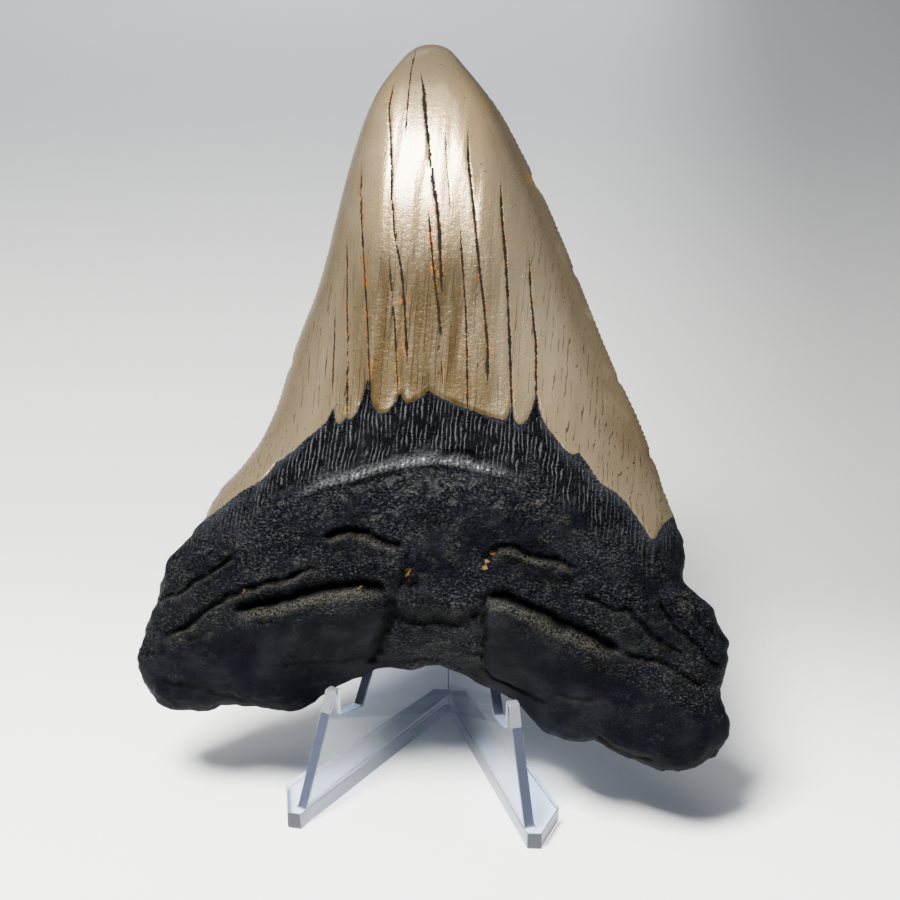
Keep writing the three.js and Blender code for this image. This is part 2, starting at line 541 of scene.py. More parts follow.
CROWN_CRACKS: tuple[Crack, ...] = (
    Crack(((-20.4, 76.0), (-19.9, 68.7), (-19.3, 58.3)), 0.13, 0.15, 0.3),
    Crack(((-19.4, 90.0), (-18.6, 83.6), (-17.8, 75.1), (-17.0, 68.6), (-15.8, 54.3)), 0.17, 0.2, 0.5),
    Crack(((-17.4, 104.0), (-16.7, 96.0), (-15.8, 89.7), (-14.6, 81.3), (-13.4, 72.9), (-11.6, 58.0)),
          0.2, 0.3, 0.5),
    Crack(((-12.6, 121.0), (-12.8, 115.0), (-11.7, 108.6), (-10.9, 102.5), (-10.2, 95.6), (-9.2, 89.4),
           (-7.5, 83.1), (-6.5, 77.0), (-5.2, 66.0)), 0.24, 0.35, 0.6),
    Crack(((-10.2, 86.5), (-9.1, 79.0), (-8.1, 72.8), (-6.5, 60.0)), 0.14, 0.15, 0.4),
    Crack(((-14.2, 125.0), (-15.2, 122.5), (-16.8, 118.6)), 0.3, 0.1),
    Crack(((-9.9, 131.0), (-9.7, 124.1), (-9.2, 117.0), (-8.8, 109.0)), 0.15, 0.2, 0.2),
    Crack(((-7.7, 123.5), (-6.4, 118.9), (-5.5, 114.0), (-4.4, 108.9), (-3.3, 103.3), (-2.2, 97.9),
           (-1.2, 93.6), (-0.6, 89.5), (0.5, 79.5)), 0.36, 0.5, 0.8),
    Crack(((-3.2, 95.0), (-2.0, 87.4), (-1.0, 81.2), (0.2, 75.0), (0.9, 68.7), (1.8, 62.0)),
          0.22, 0.3, 0.6),
    Crack(((-1.4, 112.5), (-0.5, 104.2), (0.3, 100.1), (1.0, 94.5)), 0.1, 0.1, 0.1),
    Crack(((3.0, 92.5), (4.2, 83.5), (5.2, 76.1), (5.9, 69.0), (6.9, 57.5)), 0.18, 0.25, 0.3),
    Crack(((2.9, 111.5), (3.7, 104.6), (5.3, 96.1), (7.0, 85.7), (8.8, 75.6), (9.8, 69.3), (10.3, 62.5)),
          0.26, 0.35, 0.3),
    Crack(((9.9, 101.5), (10.7, 94.7), (11.9, 87.2), (12.9, 79.1), (13.9, 69.7), (15.1, 58.0)),
          0.26, 0.35, 0.3),
    Crack(((16.2, 87.5), (17.1, 79.7), (17.9, 74.7), (18.7, 70.3), (19.7, 57.0)), 0.22, 0.3, 0.3),
)

ROOT_CREVICES: tuple[Crevice, ...] = (
    Crevice(((-53.0, 17.6), (-51.6, 18.0), (-47.3, 19.0), (-44.7, 20.7), (-41.7, 22.7), (-38.9, 24.4),
             (-34.8, 26.8)), 0.4, 0.9, 0.6, 5.0, 0.5, 0.8),
    Crevice(((-50.5, 9.4), (-49.4, 10.9), (-45.1, 13.1), (-42.6, 15.2), (-39.7, 16.9), (-36.4, 19.3),
             (-34.0, 20.6), (-30.9, 21.5), (-27.8, 22.7), (-24.7, 23.2), (-22.4, 25.0), (-17.4, 25.9)),
            0.5, 1.1, 0.9, 3.5, 0.6, 0.9),
    Crevice(((-36.5, 16.4), (-34.0, 17.6), (-30.5, 18.4), (-27.8, 18.8), (-24.0, 20.1), (-20.9, 21.3),
             (-17.1, 22.1), (-14.1, 22.6), (-10.3, 23.2), (-7.3, 22.7), (-5.1, 21.4)),
            0.85, 2.4, 1.4, 13.0, 1.0, 2.6),
    Crevice(((-26.8, 5.7), (-23.4, 7.7), (-16.5, 7.8), (-11.5, 9.7)), 0.3, 0.35, 0.2, 3.0, 0.1),
    Crevice(((-18.5, 31.4), (-15.0, 32.6), (-13.2, 33.1), (-10.5, 32.5), (-7.5, 31.8), (-4.9, 30.8),
             (-2.7, 29.9)), 0.55, 1.6, 0.9, 4.0, 0.8, 1.4),
    Crevice(((-5.2, 19.6), (-4.3, 18.0), (-1.2, 17.3), (3.2, 17.8), (5.5, 17.5), (8.7, 18.4),
             (10.4, 19.0), (11.8, 20.8)), 0.9, 2.0, -1.2, 12.0, 0.0),
    Crevice(((12.2, 28.4), (13.2, 30.6), (14.7, 31.6), (17.0, 31.9), (19.2, 30.8), (21.4, 30.2),
             (24.8, 30.0), (29.4, 28.6)), 0.45, 1.3, 1.0, 5.0, 0.8, 1.3),
    Crevice(((11.8, 22.9), (15.6, 22.7), (17.8, 22.2), (20.9, 20.9), (23.5, 20.3), (26.2, 18.5),
             (29.7, 17.7), (32.3, 16.6), (35.4, 15.2), (37.5, 14.0)), 0.85, 2.3, 1.4, 11.0, 1.0, 2.6),
    Crevice(((34.4, 15.6), (39.4, 13.3), (42.8, 12.9), (45.4, 12.7), (48.1, 11.1), (51.7, 9.1),
             (54.4, 8.3)), 0.4, 1.0, 0.7, 6.0, 0.5, 0.8),
    Crevice(((29.5, 24.4), (33.5, 22.7), (36.0, 21.4), (39.0, 21.6), (40.8, 19.7), (43.5, 16.9),
             (46.6, 15.3), (49.7, 14.3)), 0.4, 0.9, 0.7, 4.0, 0.5, 0.7),
    Crevice(((43.4, 25.4), (45.4, 21.8), (47.2, 19.3), (49.9, 17.3), (52.2, 15.3), (54.0, 13.6),
             (56.9, 12.0)), 0.38, 0.9, 0.8, 3.5, 0.55, 0.6),
    Crevice(((50.5, 22.5), (53.3, 19.3), (56.8, 16.8)), 0.4, 0.7, 0.5, 3.0, 0.2, 0.6),
    Crevice(((10.8, 9.8), (12.6, 7.9), (15.8, 6.3), (19.1, 4.8), (22.1, 3.6), (24.9, 3.2)),
            0.4, 0.8, 0.4, 3.0, 0.1),
    Crevice(((26.2, 5.4), (28.9, 4.5), (33.7, 4.4)), 0.35, 0.5, 0.3, 3.0, 0.1),
    Crevice(((33.1, -2.6), (37.1, -4.0), (40.3, -5.0), (44.7, -5.6)), 0.6, 0.9, -0.5, 3.0, 0.0),
    Crevice(((-51.8, 2.4), (-47.3, 1.4), (-43.2, 1.4), (-38.7, 0.6), (-32.9, -0.4)),
            0.6, 0.6, -0.6, 3.0, 0.1),
    Crevice(((2.6, 47.2), (4.5, 48.5), (6.2, 48.9), (9.1, 48.1), (10.6, 46.9)), 0.5, 1.0, 0.4, 2.0, 0.1),
)

# Upright joints between the blocks of the root, top to bottom, so that each block's own side is on the left.
ROOT_JOINTS: tuple[Crevice, ...] = (
    Crevice(((-4.9, 22.0), (-5.2, 18.8), (-6.5, 15.8), (-8.4, 12.6), (-9.6, 9.8), (-10.4, 7.4)),
            0.9, 2.6),
    Crevice(((12.0, 23.5), (12.2, 21.7), (12.4, 14.7), (11.2, 9.7)), 0.4, 1.1),
    Crevice(((-2.5, 29.9), (-1.9, 27.5), (-2.2, 25.9), (-4.2, 22.0)), 0.4, 0.8),
)

PORES: tuple[tuple[float, float, float], ...] = ((-1.0, 23.8, 0.8), (-2.1, 26.4, 0.6), (-12.0, 32.4, 0.7))
ORANGE_SPOTS: tuple[tuple[float, float, float], ...] = (
    (-2.1, 26.3, 0.6), (-2.2, 25.4, 0.5), (12.3, 27.6, 0.6), (12.5, 28.9, 0.5), (13.3, 30.4, 0.6),
    (-7.6, 98.2, 0.7), (14.6, 104.4, 1.4), (-22.2, 103.7, 1.1), (-33.5, 20.4, 0.6), (-11.0, 22.6, 0.5),
)
EDGE_CHIPS: tuple[tuple[float, float, float], ...] = (
    (15.0, 104.2, 1.5), (24.6, 87.0, 0.8), (-22.8, 103.6, 1.2), (4.0, 124.0, 0.7), (34.5, 66.0, 0.8),
    (-25.6, 90.0, 0.7), (41.2, 51.5, 0.9), (-31.6, 66.0, 0.8),
)
ENAMEL_BORDER: Route = (
    (-60.0, 30.0), (-46.7, 32.2), (-40.6, 35.5), (-35.5, 39.4), (-32.2, 41.3), (-28.7, 45.2), (-25.5, 48.0),
    (-22.8, 50.6), (-20.5, 52.4), (-17.4, 52.5), (-15.3, 53.0), (-12.2, 54.8), (-9.2, 54.9), (-6.2, 56.4),
    (-4.2, 57.1), (-0.8, 58.3), (3.3, 58.0), (6.3, 57.1), (10.3, 55.9), (14.0, 55.0), (17.2, 54.2),
    (20.0, 54.9), (22.0, 54.0), (23.4, 52.6), (25.8, 50.1), (29.2, 48.5), (32.1, 45.0), (36.5, 42.1),
    (40.5, 37.3), (42.8, 35.2), (43.6, 37.1), (46.0, 40.0), (60.0, 45.0),
)
# Narrow wedges of root that run up into the cracks: place across, height, width.
BORDER_WEDGES: tuple[tuple[float, float, float], ...] = (
    (-18.9, 4.4, 0.6), (-16.0, 2.2, 0.35), (-12.4, 8.0, 1.0), (-6.1, 3.8, 0.7), (-0.6, 1.8, 1.8),
    (15.1, 4.4, 0.45), (19.5, 6.6, 0.85), (-29.4, 1.0, 0.5), (28.0, 1.2, 0.5),
)
LABIAL_BORDER: Route = (
    (-60.0, 30.0), (-44.0, 35.0), (-34.0, 36.5), (-24.0, 39.0), (-12.0, 41.5), (0.0, 42.5), (12.0, 42.0),
    (24.0, 40.0), (34.0, 37.5), (44.0, 36.5), (60.0, 44.0),
)


# ---------------------------------------------------------------- tooth: finishes
@dataclass(frozen=True)
class EnamelFinish:
    """Polished tan enamel with dark cracks, and painted light, a painted highlight and painted shade in its
    colour.
    """

    tan: Colour = (0.134, 0.105, 0.065)
    pale: Colour = (0.182, 0.15, 0.102)
    golden: Colour = (0.031, 0.0203, 0.0065)
    # Painted highlight: a warm cream laid where the crown's highlight falls.
    painted_highlight: Colour = (0.2, 0.142, 0.07)
    dull: Colour = (0.07, 0.054, 0.034)
    # Painted shade, laid on the flanks, the edges and the tip.
    olive_shade: Colour = (0.06, 0.0455, 0.0265)
    crack: Colour = (0.0065, 0.0055, 0.0055)
    stain: Colour = (0.15, 0.062, 0.013)
    chip: Colour = (0.15, 0.08, 0.028)
    roughness: float = 0.24
    sheen: float = 0.5
    coat: float = 0.5
    coat_roughness: float = 0.17
    coat_ior: float = 1.65
    ior: float = 1.5
    specular: float = 0.02
    specular_tint: Colour = (0.42, 0.35, 0.27)
    # Where each tone of the crown starts and where it is full, in millimetres across (x) or up (y); several
    # of them paint light, a highlight and shade into the colour.
    polished_y: Span = (54.0, 84.0)
    golden_y: Span = (108.0, 76.0)
    golden_away: Span = (26.0, 8.0)
    # Painted light on the right flank.
    painted_light_x: Span = (4.0, 20.0)
    painted_light_y: Span = (50.0, 84.0)
    # Painted shade on the far right and far left, and at the tip.
    shaded_right_x: Span = (26.0, 44.0)
    shaded_left_x: Span = (-19.0, -27.0)
    shaded_tip_y: Span = (116.0, 131.0)
    highlight_away: Span = (15.0, 7.0)
    highlight_y: tuple[Span, Span] = ((84.0, 94.0), (126.0, 116.0))


@dataclass(frozen=True)
class RootFinish:
    """Near-black mineralised root with dusty ledges, and painted light, glints and shade in its colour."""

    black: Colour = (0.0019, 0.0024, 0.004)
    slate: Colour = (0.0062, 0.0068, 0.0086)
    # Grey of the grain and of the ridge's band, also laid as painted glints.
    streak_and_glint: Colour = (0.042, 0.043, 0.048)
    wall: Colour = (0.037, 0.039, 0.045)
    hem: Colour = (0.014, 0.016, 0.021)
    # Painted glints on the ridge's beads.
    glint: Colour = (0.06, 0.062, 0.069)
    # Dust, also laid as painted light on the ledges' rims and the crumple's crests.
    dust_and_light: Colour = (0.034, 0.0315, 0.025)
    orange: Colour = (0.12, 0.066, 0.022)
    neck: Colour = (0.0006, 0.0007, 0.001)
    pit: Colour = (0.0004, 0.0005, 0.0008)
    # Painted shade in the crumple's creases.
    crease: Colour = (0.0003, 0.0004, 0.0006)
    # Painted shade in the crevices and pores.
    cavity_shade: Colour = (0.0002, 0.0002, 0.0003)
    roughness: float = 0.5
    coat: float = 0.007
    glint_coat: float = 0.15
    # Where the ridge's two bright bands start and where they are full, by distance from the ridge's middle
    # and by height above the ridge, from below and from above.
    ridge_away: Span = (23.0, 12.0)
    band_above: tuple[Span, Span] = ((-0.4, 0.4), (2.8, 1.0))
    glint_above: tuple[Span, Span] = ((-0.25, 0.15), (1.7, 0.8))


@dataclass
class Tooth:
    """The fossil tooth, in its own plane: x across, y up from the seat, height off the labial plane."""

    lean: float = 27.5
    seat: Place = (0.0, -30.65, 17.2)
    lift: float = 0.75
    clearance: float = 0.35
    columns: int = 224
    rows: int = 336
    arch_rounding: float = 15.0
    lobe_rounding: float = 9.0
    lobe_start: Span = (20.0, 32.0)
    lobe_edge_lift: float = 4.5
    lobe_bluntness: float = 0.5
    tip_rounding: float = 18.0
    edge_start: float = 44.0
    serration_pitch: float = 1.1
    serration_depth: float = 0.34
    chip_depth: float = 0.55
    root_to_crown: Span = (28.0, 55.0)
    root_outline_shake: Span = (0.7, 0.6)
    ridge_height: float = 0.8
    bead_height: float = 0.5
    neck_depth: float = 0.35
    block_depth: float = 1.1
    pore_depth: float = 1.2
    enamel_lift: float = 0.2
    enamel_ripple: float = 0.2
    crack_relief: float = 0.16
    # The flat face's cracks: how many, where they stand across, where they end below and above, their width.
    flat_cracks: int = 10
    flat_crack_x: Span = (-21.0, 24.0)
    flat_crack_low: Span = (43.0, 60.0)
    flat_crack_high: Span = (78.0, 118.0)
    flat_crack_width: Span = (0.1, 0.26)
    seed: int = 11
    enamel: EnamelFinish = EnamelFinish()
    root: RootFinish = RootFinish()

    LEFT_SIDE = (
        (-54.6, -0.8), (-56.8, 4.5), (-55.4, 11.5), (-53.1, 17.5), (-51.5, 24.5), (-45.6, 32.0),
        (-42.0, 40.0), (-36.8, 48.6), (-33.4, 57.4), (-30.6, 69.7), (-27.0, 82.0), (-24.7, 94.3),
        (-22.4, 106.7), (-18.9, 119.0), (-12.7, 129.0),
    )
    RIGHT_SIDE = (
        (56.6, -4.8), (58.4, 1.5), (56.9, 7.5), (57.7, 15.0), (54.6, 22.8), (48.8, 27.6), (48.0, 34.2),
        (44.8, 42.8), (39.0, 57.0), (32.8, 68.8), (26.6, 82.0), (20.1, 96.0), (13.2, 109.0), (6.4, 120.0),
        (-2.0, 129.6),
    )
    ROOT_RIM = (
        (-54.6, -0.8), (-47.5, -4.0), (-37.0, -2.0), (-25.5, -2.0), (-17.5, 3.0), (-10.0, 6.4), (-3.5, 7.6),
        (3.0, 8.4), (10.0, 5.8), (17.5, 2.5), (24.0, -3.0), (33.0, -3.7), (41.0, -6.6), (49.5, -7.9),
        (56.6, -4.8),
    )
    TIP = ((-12.7, 129.0), (-10.2, 131.4), (-7.2, 132.1), (-4.2, 131.4), (-2.0, 129.6))
    CREST = {
        Face.LINGUAL: (
            (-8, 19), (8, 17), (16, 21), (26, 24.8), (38, 26.8), (46, 25.5), (52, 24.2), (58, 23.3),
            (66, 22.8), (76, 22.6), (86, 22.9), (97, 22.6), (105, 21.6), (112, 20.1), (119, 17.9),
            (126, 15), (133, 12),
        ),
        Face.LABIAL: ((-8, 0), (45, 0), (60, 0.6), (80, 1.2), (110, 2.4), (133, 3.6)),
    }
    BLUNTNESS = {Face.LINGUAL: 0.85, Face.LABIAL: 0.6}
    EDGE_HEIGHT = ((-8, 3.6), (3, 3.6), (14, 7.5), (35, 8.5), (50, 7), (80, 6), (133, 5.6))
    # Lines across the root: the ridge under the enamel, how far the bare neck falls below the enamel,
    # and the ledges over the smooth faces of the two lobes.
    RIDGE = ((-30, 33.5), (-19.5, 40.3), (-4.6, 44.9), (2.8, 46.2), (15.9, 44.3), (30, 36))
    NECK_FALL = ((-50, 3), (-30, 6), (-20, 9.5), (0, 10), (20, 9.5), (35, 8), (50, 4))
    LEFT_LEDGE = ((-56, 6), (-34, 15), (-6, 19.5))
    RIGHT_LEDGE = ((12, 19), (24, 15), (36, 11), (58, 3))
    # Lines up the tooth: the left side of the sunken block in the middle, and the tooth's own middle.
    BLOCK_SIDE = ((8, -9.5), (20, -5))
    MIDDLE = ((0, 0), (60, 0), (133, -7))
    # The middle of the ridge, across the tooth.
    RIDGE_X = -3.0
    # How closely the mesh's rows lie, by share of the way up.
    ROW_DENSITY = (
        (0.0, 2.6), (0.03, 1.6), (0.1, 1.0), (0.3, 0.95), (0.42, 1.12), (0.95, 1.12), (0.985, 1.8),
        (1.0, 3.0),
    )

    def __post_init__(self) -> None:
        """Readies the curves and noises that the faces share."""
        self.left, self.right, self.rim, self.tip = (
            Curve(points) for points in (self.LEFT_SIDE, self.RIGHT_SIDE, self.ROOT_RIM, self.TIP)
        )
        self.lumps = Noise(self.seed)
        self.grain = Noise(self.seed + 1)
        self.wander = Noise(self.seed + 2)

    # -- places
    def to_world(self, local: np.ndarray) -> np.ndarray:
        """Turns places in the tooth's plane into the frame's metres.

        Args:
            local: Across, up and off the labial plane, in millimetres, (..., 3).

        Returns:
            Places in metres, (..., 3).
        """
        lean = math.radians(self.lean)
        across = np.array([1.0, 0.0, 0.0])
        up = np.array([0.0, math.sin(lean), math.cos(lean)])
        front = np.array([0.0, -math.cos(lean), math.sin(lean)])
        start = np.array(self.seat) + up * self.lift + front * self.clearance
        return (start + local @ np.stack([across, up, front])) * MM

    def steps(self) -> tuple[np.ndarray, np.ndarray]:
        """Shares of the way across and up at which the surface is cut.

        Returns:
            The column shares, closer together at the edges, and the row shares, closest in the crown.
        """
        even = np.linspace(0.0, 1.0, self.columns + 1)
        columns = even + ((1.0 - np.cos(np.pi * even)) / 2.0 - even) * 0.7
        fine = np.linspace(0.0, 1.0, 2000)
        filled = np.cumsum(between(self.ROW_DENSITY, fine))
        filled = (filled - filled[0]) / (filled[-1] - filled[0])
        return columns, np.interp(np.linspace(0.0, 1.0, self.rows + 1), filled, fine)

    def patch(self, a: np.ndarray, b: np.ndarray) -> Masks:
        """Stretches a sheet between the four edge curves.

        Args:
            a: Shares from the left edge to the right.
            b: Shares from the root's rim to the tip.

        Returns:
            Arrays of (rows, columns): x, y, above_rim, below_tip and side, which is 1 at either edge.
        """
        left, right = self.left.at(b)[:, None], self.right.at(b)[:, None]
        rim, tip = self.rim.at(a)[None], self.tip.at(a)[None]
        across, up = a[None, :, None], b[:, None, None]
        corners = (
            (1 - across) * (1 - up) * self.rim.points[0] + across * (1 - up) * self.rim.points[-1]
            + (1 - across) * up * self.tip.points[0] + across * up * self.tip.points[-1]
        )
        sheet = (1 - across) * left + across * right + (1 - up) * rim + up * tip - corners
        x, y = sheet[..., 0], sheet[..., 1]
        side = np.broadcast_to(np.abs(2 * a - 1)[None], x.shape)
        return {"x": x, "y": y, "above_rim": y - rim[..., 1], "below_tip": tip[..., 1] - y, "side": side}

    def root_share(self, y: np.ndarray) -> np.ndarray:
        """1 in the root, 0 in the crown."""
        return 1.0 - smoothstep(y, *self.root_to_crown)

    def base_height(self, place: Masks, face: Face) -> np.ndarray:
        """Height of a face before any detail.

        Args:
            place: What patch gives.
            face: Which face.

        Returns:
            Height off the labial plane.
        """
        x, y = place["x"], place["y"]
        rooty = self.root_share(y)
        lobe = smoothstep(np.abs(x), *self.lobe_start) * rooty
        across = np.clip(1 - place["side"] ** (4.2 - 0.2 * rooty), 0, 1) ** (1 - 0.5 * rooty)
        rounding = self.arch_rounding + (self.lobe_rounding - self.arch_rounding) * lobe
        from_rim = np.clip(place["above_rim"] / rounding, 0, 1)
        from_tip = np.clip(place["below_tip"] / self.tip_rounding, 0, 1)
        blunt = self.BLUNTNESS[face] + (self.lobe_bluntness - self.BLUNTNESS[face]) * lobe
        rise = across * (1 - (1 - from_rim) ** 2.2) ** blunt * np.sqrt(1 - (1 - from_tip) ** 2.5)
        edge = between(self.EDGE_HEIGHT, y) + lobe * self.lobe_edge_lift
        return edge + (eased(self.CREST[face], y) - edge) * rise

    # -- detail
    def border_distance(self, x: np.ndarray, y: np.ndarray, face: Face) -> np.ndarray:
        """How far inside the enamel a place is, less than 0 on the root.

        Args:
            x: Places across.
            y: Places up.
            face: Which face.

        Returns:
            The distance up from the enamel's border.
        """
        if face is Face.LABIAL:
            return y - between(LABIAL_BORDER, x)
        border = eased(ENAMEL_BORDER, x)
        for place, tall, reach in BORDER_WEDGES:
            border = border + tall * np.exp(-np.abs(x - place) / reach)
        return y - border

    def crack_field(self, x: np.ndarray, y: np.ndarray, cracks: Sequence[Crack]) -> Masks:
        """Where a place lies among the crown's cracks.

        The offset swaps sign from one crack to the next, so it passes through 0 on every crack and nowhere
        else, and stays smooth between the mesh's points.

        Args:
            x: Places across.
            y: Places up.
            cracks: The cracks, in any order.

        Returns:
            offset from the nearest crack, its width there, its depth and its stain.
        """
        stack = []
        for crack in cracks:
            route = np.array(crack.route)[::-1]
            line = np.interp(y, route[:, 1], route[:, 0])
            low, high = route[0, 1], route[-1, 1]
            fade = plateau(y, (low - 1.5, low + 2.0), (high - 5.0, high + 0.5))
            stack.append((x - line, fade, crack))
        away = np.array([entry[0] for entry in stack])
        nearest = np.argmin(np.abs(away), axis=0)
        passed = (away > 0).sum(axis=0)
        pick = np.take_along_axis(away, nearest[None], axis=0)[0]
        fade = np.take_along_axis(np.array([entry[1] for entry in stack]), nearest[None], axis=0)[0]
        size = {
            name: np.array([getattr(entry[2], name) for entry in stack])[nearest] * fade
            for name in ("width", "depth", "stain")
        }
        return {"offset": np.abs(pick) * np.where(passed % 2 == 0, -1.0, 1.0), **size}

    def labial_cracks(self) -> tuple[Crack, ...]:
        """Cracks of the flat face, drawn at random along its length.

        Returns:
            The cracks, left to right.
        """
        draw = np.random.default_rng(self.seed + 7)
        cracks = []
        for x in np.linspace(*self.flat_crack_x, self.flat_cracks):
            low, high = draw.uniform(*self.flat_crack_low), draw.uniform(*self.flat_crack_high)
            levels = np.linspace(high, low, 6)
            lean_in = (levels - low) / 130.0
            places = x * (1 - 0.75 * lean_in) - 7.0 * lean_in + draw.normal(0.0, 0.25, 6)
            width = draw.uniform(*self.flat_crack_width)
            cracks.append(Crack(tuple(zip(places, levels)), width, 0.25, draw.uniform(0.0, 0.5)))
        return tuple(cracks)

    def root_relief(self, x: np.ndarray, y: np.ndarray) -> Masks:
        """Crevices, ledges, joints and pores of the root's rounded face.

        Args:
            x: Places across.
            y: Places up.

        Returns:
            height to add, and masks of shade painted into crevices and pores, of the ledges' dust and
            painted light, and of the orange spots.
        """
        wavy = np.stack([x, y, np.zeros_like(x)], axis=-1)
        shake = self.wander.layered(wavy, (3.0, 3.0, 3.0), 3) * 0.45
        height, cavity_shade, dust_and_light = np.zeros_like(x), np.zeros_like(x), np.zeros_like(x)
        for crevice in ROOT_CREVICES + ROOT_JOINTS:
            below, along = route_distance(x, y, crevice.route)
            below = below + shake
            closed = smoothstep(np.minimum(along, 1 - along), 0.0, 0.1)
            fading = smoothstep(np.minimum(along, 1 - along), -0.02, 0.18)
            groove = bell(below, crevice.width) * closed
            shelf = np.clip(below / crevice.band, 0.0, 1.0) ** 0.8
            shelf = shelf * (1 - smoothstep(np.abs(below), crevice.band, crevice.reach))
            height += fading * crevice.ledge * shelf - crevice.depth * groove
            # Painted shade in the groove, by its depth.
            cavity_shade = np.maximum(cavity_shade, groove * min(1.0, crevice.depth / 1.1))
            # Dust and painted light along the ledge's rim, where its top catches the light.
            lip = (crevice.width * 0.6, crevice.width * 1.3)
            rim = plateau(below, lip, (crevice.band * 0.9, crevice.band * 1.25 + 0.2))
            dust_and_light = np.maximum(dust_and_light, rim * closed * crevice.dust_and_light)
        block = smoothstep(x - between(self.BLOCK_SIDE, y), -0.3, 0.9) * (1 - smoothstep(x, 11.4, 12.6))
        height -= self.block_depth * block * (1 - smoothstep(y, 15.0, 18.5))
        for px, py, size in PORES:
            hole = bell(np.hypot(x - px, y - py), size)
            height -= self.pore_depth * hole
            cavity_shade = np.maximum(cavity_shade, hole)
        orange = np.zeros_like(x)
        for px, py, size in ORANGE_SPOTS:
            orange = np.maximum(orange, bell(np.hypot(x - px + shake, y - py), size))
        return {"height": height, "cavity_shade": cavity_shade, "dust_and_light": dust_and_light, "orange": orange}

    def smooth_blocks(self, x: np.ndarray, y: np.ndarray) -> np.ndarray:
        """Mask of the smooth faces of the two lobes, below their ledges.

        Args:
            x: Places across.
            y: Places up.

        Returns:
            1 on the smooth faces, 0 elsewhere.
        """
        below_left = smoothstep(between(self.LEFT_LEDGE, x) - y, 0.0, 2.5)
        below_right = smoothstep(between(self.RIGHT_LEDGE, x) - y, 0.0, 2.5)
        left = below_left * (1 - smoothstep(x, -8.0, -5.0))
        return np.maximum(left, below_right * smoothstep(x, 11.0, 13.0))

    def front_relief(
        self, x: np.ndarray, y: np.ndarray, enamel: np.ndarray, stone: np.ndarray, noise: Masks
    ) -> Masks:
        """Relief of the rounded face's root: ledges, the ridge, the bare neck and crumpled rock.

        Args:
            x: Places across.
            y: Places up.
            enamel: How far inside the enamel each place is.
            stone: 1 off the enamel.
            noise: What textures gives.

        Returns:
            height to add, and the masks that the finish reads.
        """
        lumps, grain, crumple = noise["lumps"], noise["grain"], noise["crumple"]
        relief = self.root_relief(x, y)
        above_ridge = y - between(self.RIDGE, x) + 0.5 * lumps
        from_middle = np.abs(x - self.RIDGE_X)
        ridge = plateau(above_ridge, (-1.0, 0.3), (1.0, 6.0)) * (1 - smoothstep(from_middle, 17.0, 27.0))
        gloss = plateau(above_ridge, (-0.6, 0.2), (1.0, 4.5)) * (1 - smoothstep(from_middle, 14.0, 23.0))
        beads = bell(above_ridge - 0.6, 0.9) * (0.5 + 0.5 * np.cos(x * 3.6 + 3.0 * grain))
        fall = between(self.NECK_FALL, x)
        neck = plateau(-enamel, (0.0, 0.8), (fall - 1.5, fall + 3.0 + 2.0 * lumps))
        neck = neck * (1 - 0.6 * smoothstep(np.abs(x), 22.0, 40.0))
        blocks = self.smooth_blocks(x, y)
        rough = stone * (1 - 0.75 * blocks)
        height = relief["height"] + self.ridge_height * ridge + self.bead_height * beads * gloss
        height = height - self.neck_depth * neck
        height = height + rough * (1 - neck) * (0.5 * lumps + 0.16 * grain + 0.55 * crumple)
        height = height + stone * blocks * 0.35 * lumps
        return {**relief, "height": height, "smooth": blocks, "neck": neck, "above_ridge": above_ridge}

    def back_relief(self, stone: np.ndarray, noise: Masks) -> Masks:
        """Relief of the flat face's root, which is only dimpled.

        Args:
            stone: 1 off the enamel.
            noise: What textures gives.

        Returns:
            height to add, and the masks that the finish reads, which are empty.
        """
        dimple = np.minimum(noise["lumps"], 0.4) - 0.4
        height = stone * (0.7 * dimple + 0.12 * (noise["grain"] - 1.0))
        empty = {name: np.zeros_like(stone) for name in ("cavity_shade", "dust_and_light", "orange", "smooth", "neck")}
        return {**empty, "height": -height, "above_ridge": np.full_like(stone, -9.0)}

    def textures(self, flat: np.ndarray) -> Masks:
        """Noises that roughen both faces.

        Args:
            flat: Places across, up and off the labial plane, (..., 3).

        Returns:
            lumps, grain, crumple and ripple, each about -1 to 1.
        """
        return {
            "lumps": self.lumps.layered(flat, (9.0, 6.0, 9.0), 4),
            "grain": self.grain.layered(flat, (1.3, 1.1, 1.3), 3),
            "crumple": np.abs(self.wander.layered(flat, (4.2, 2.4, 4.2), 3)) - 0.3,
            "ripple": self.lumps.layered(flat, (6.0, 60.0, 30.0), 3),
        }

    def surface(self, face: Face, a: np.ndarray, b: np.ndarray) -> Masks:
        """One face with all its detail.

        Args:
            face: Which face.
            a: Shares across.
            b: Shares up.

        Returns:
            points in metres, and every mask that the finish reads.
        """
        place = self.patch(a, b)
        x, y = place["x"], place["y"]
        height = self.base_height(place, face)
        rooty = self.root_share(y)
        enamel = self.border_distance(x, y, face)
        front = face is Face.LINGUAL
        cracks = self.crack_field(x, y, CROWN_CRACKS if front else self.labial_cracks())
        on_enamel = smoothstep(enamel, -0.2, 0.4)
        stone = 1 - on_enamel
        noise = self.textures(np.stack([x, y, height], axis=-1))
        relief = self.front_relief(x, y, enamel, stone, noise) if front else self.back_relief(stone, noise)
        detail = relief.pop("height")
        cracked = bell(cracks["offset"], np.maximum(cracks["width"] * 1.15, 0.05)) * on_enamel
        crown = self.enamel_lift + self.enamel_ripple * noise["ripple"] * smoothstep(enamel, 0.0, 4.0)
        crown = on_enamel * (crown - self.crack_relief * cracks["depth"] * cracked)
        near_edge = smoothstep(1 - place["side"], 0.0, 0.06) * smoothstep(place["above_rim"], 0.0, 2.0)
        near_edge = near_edge * smoothstep(place["below_tip"], 0.0, 2.0)
        if front:
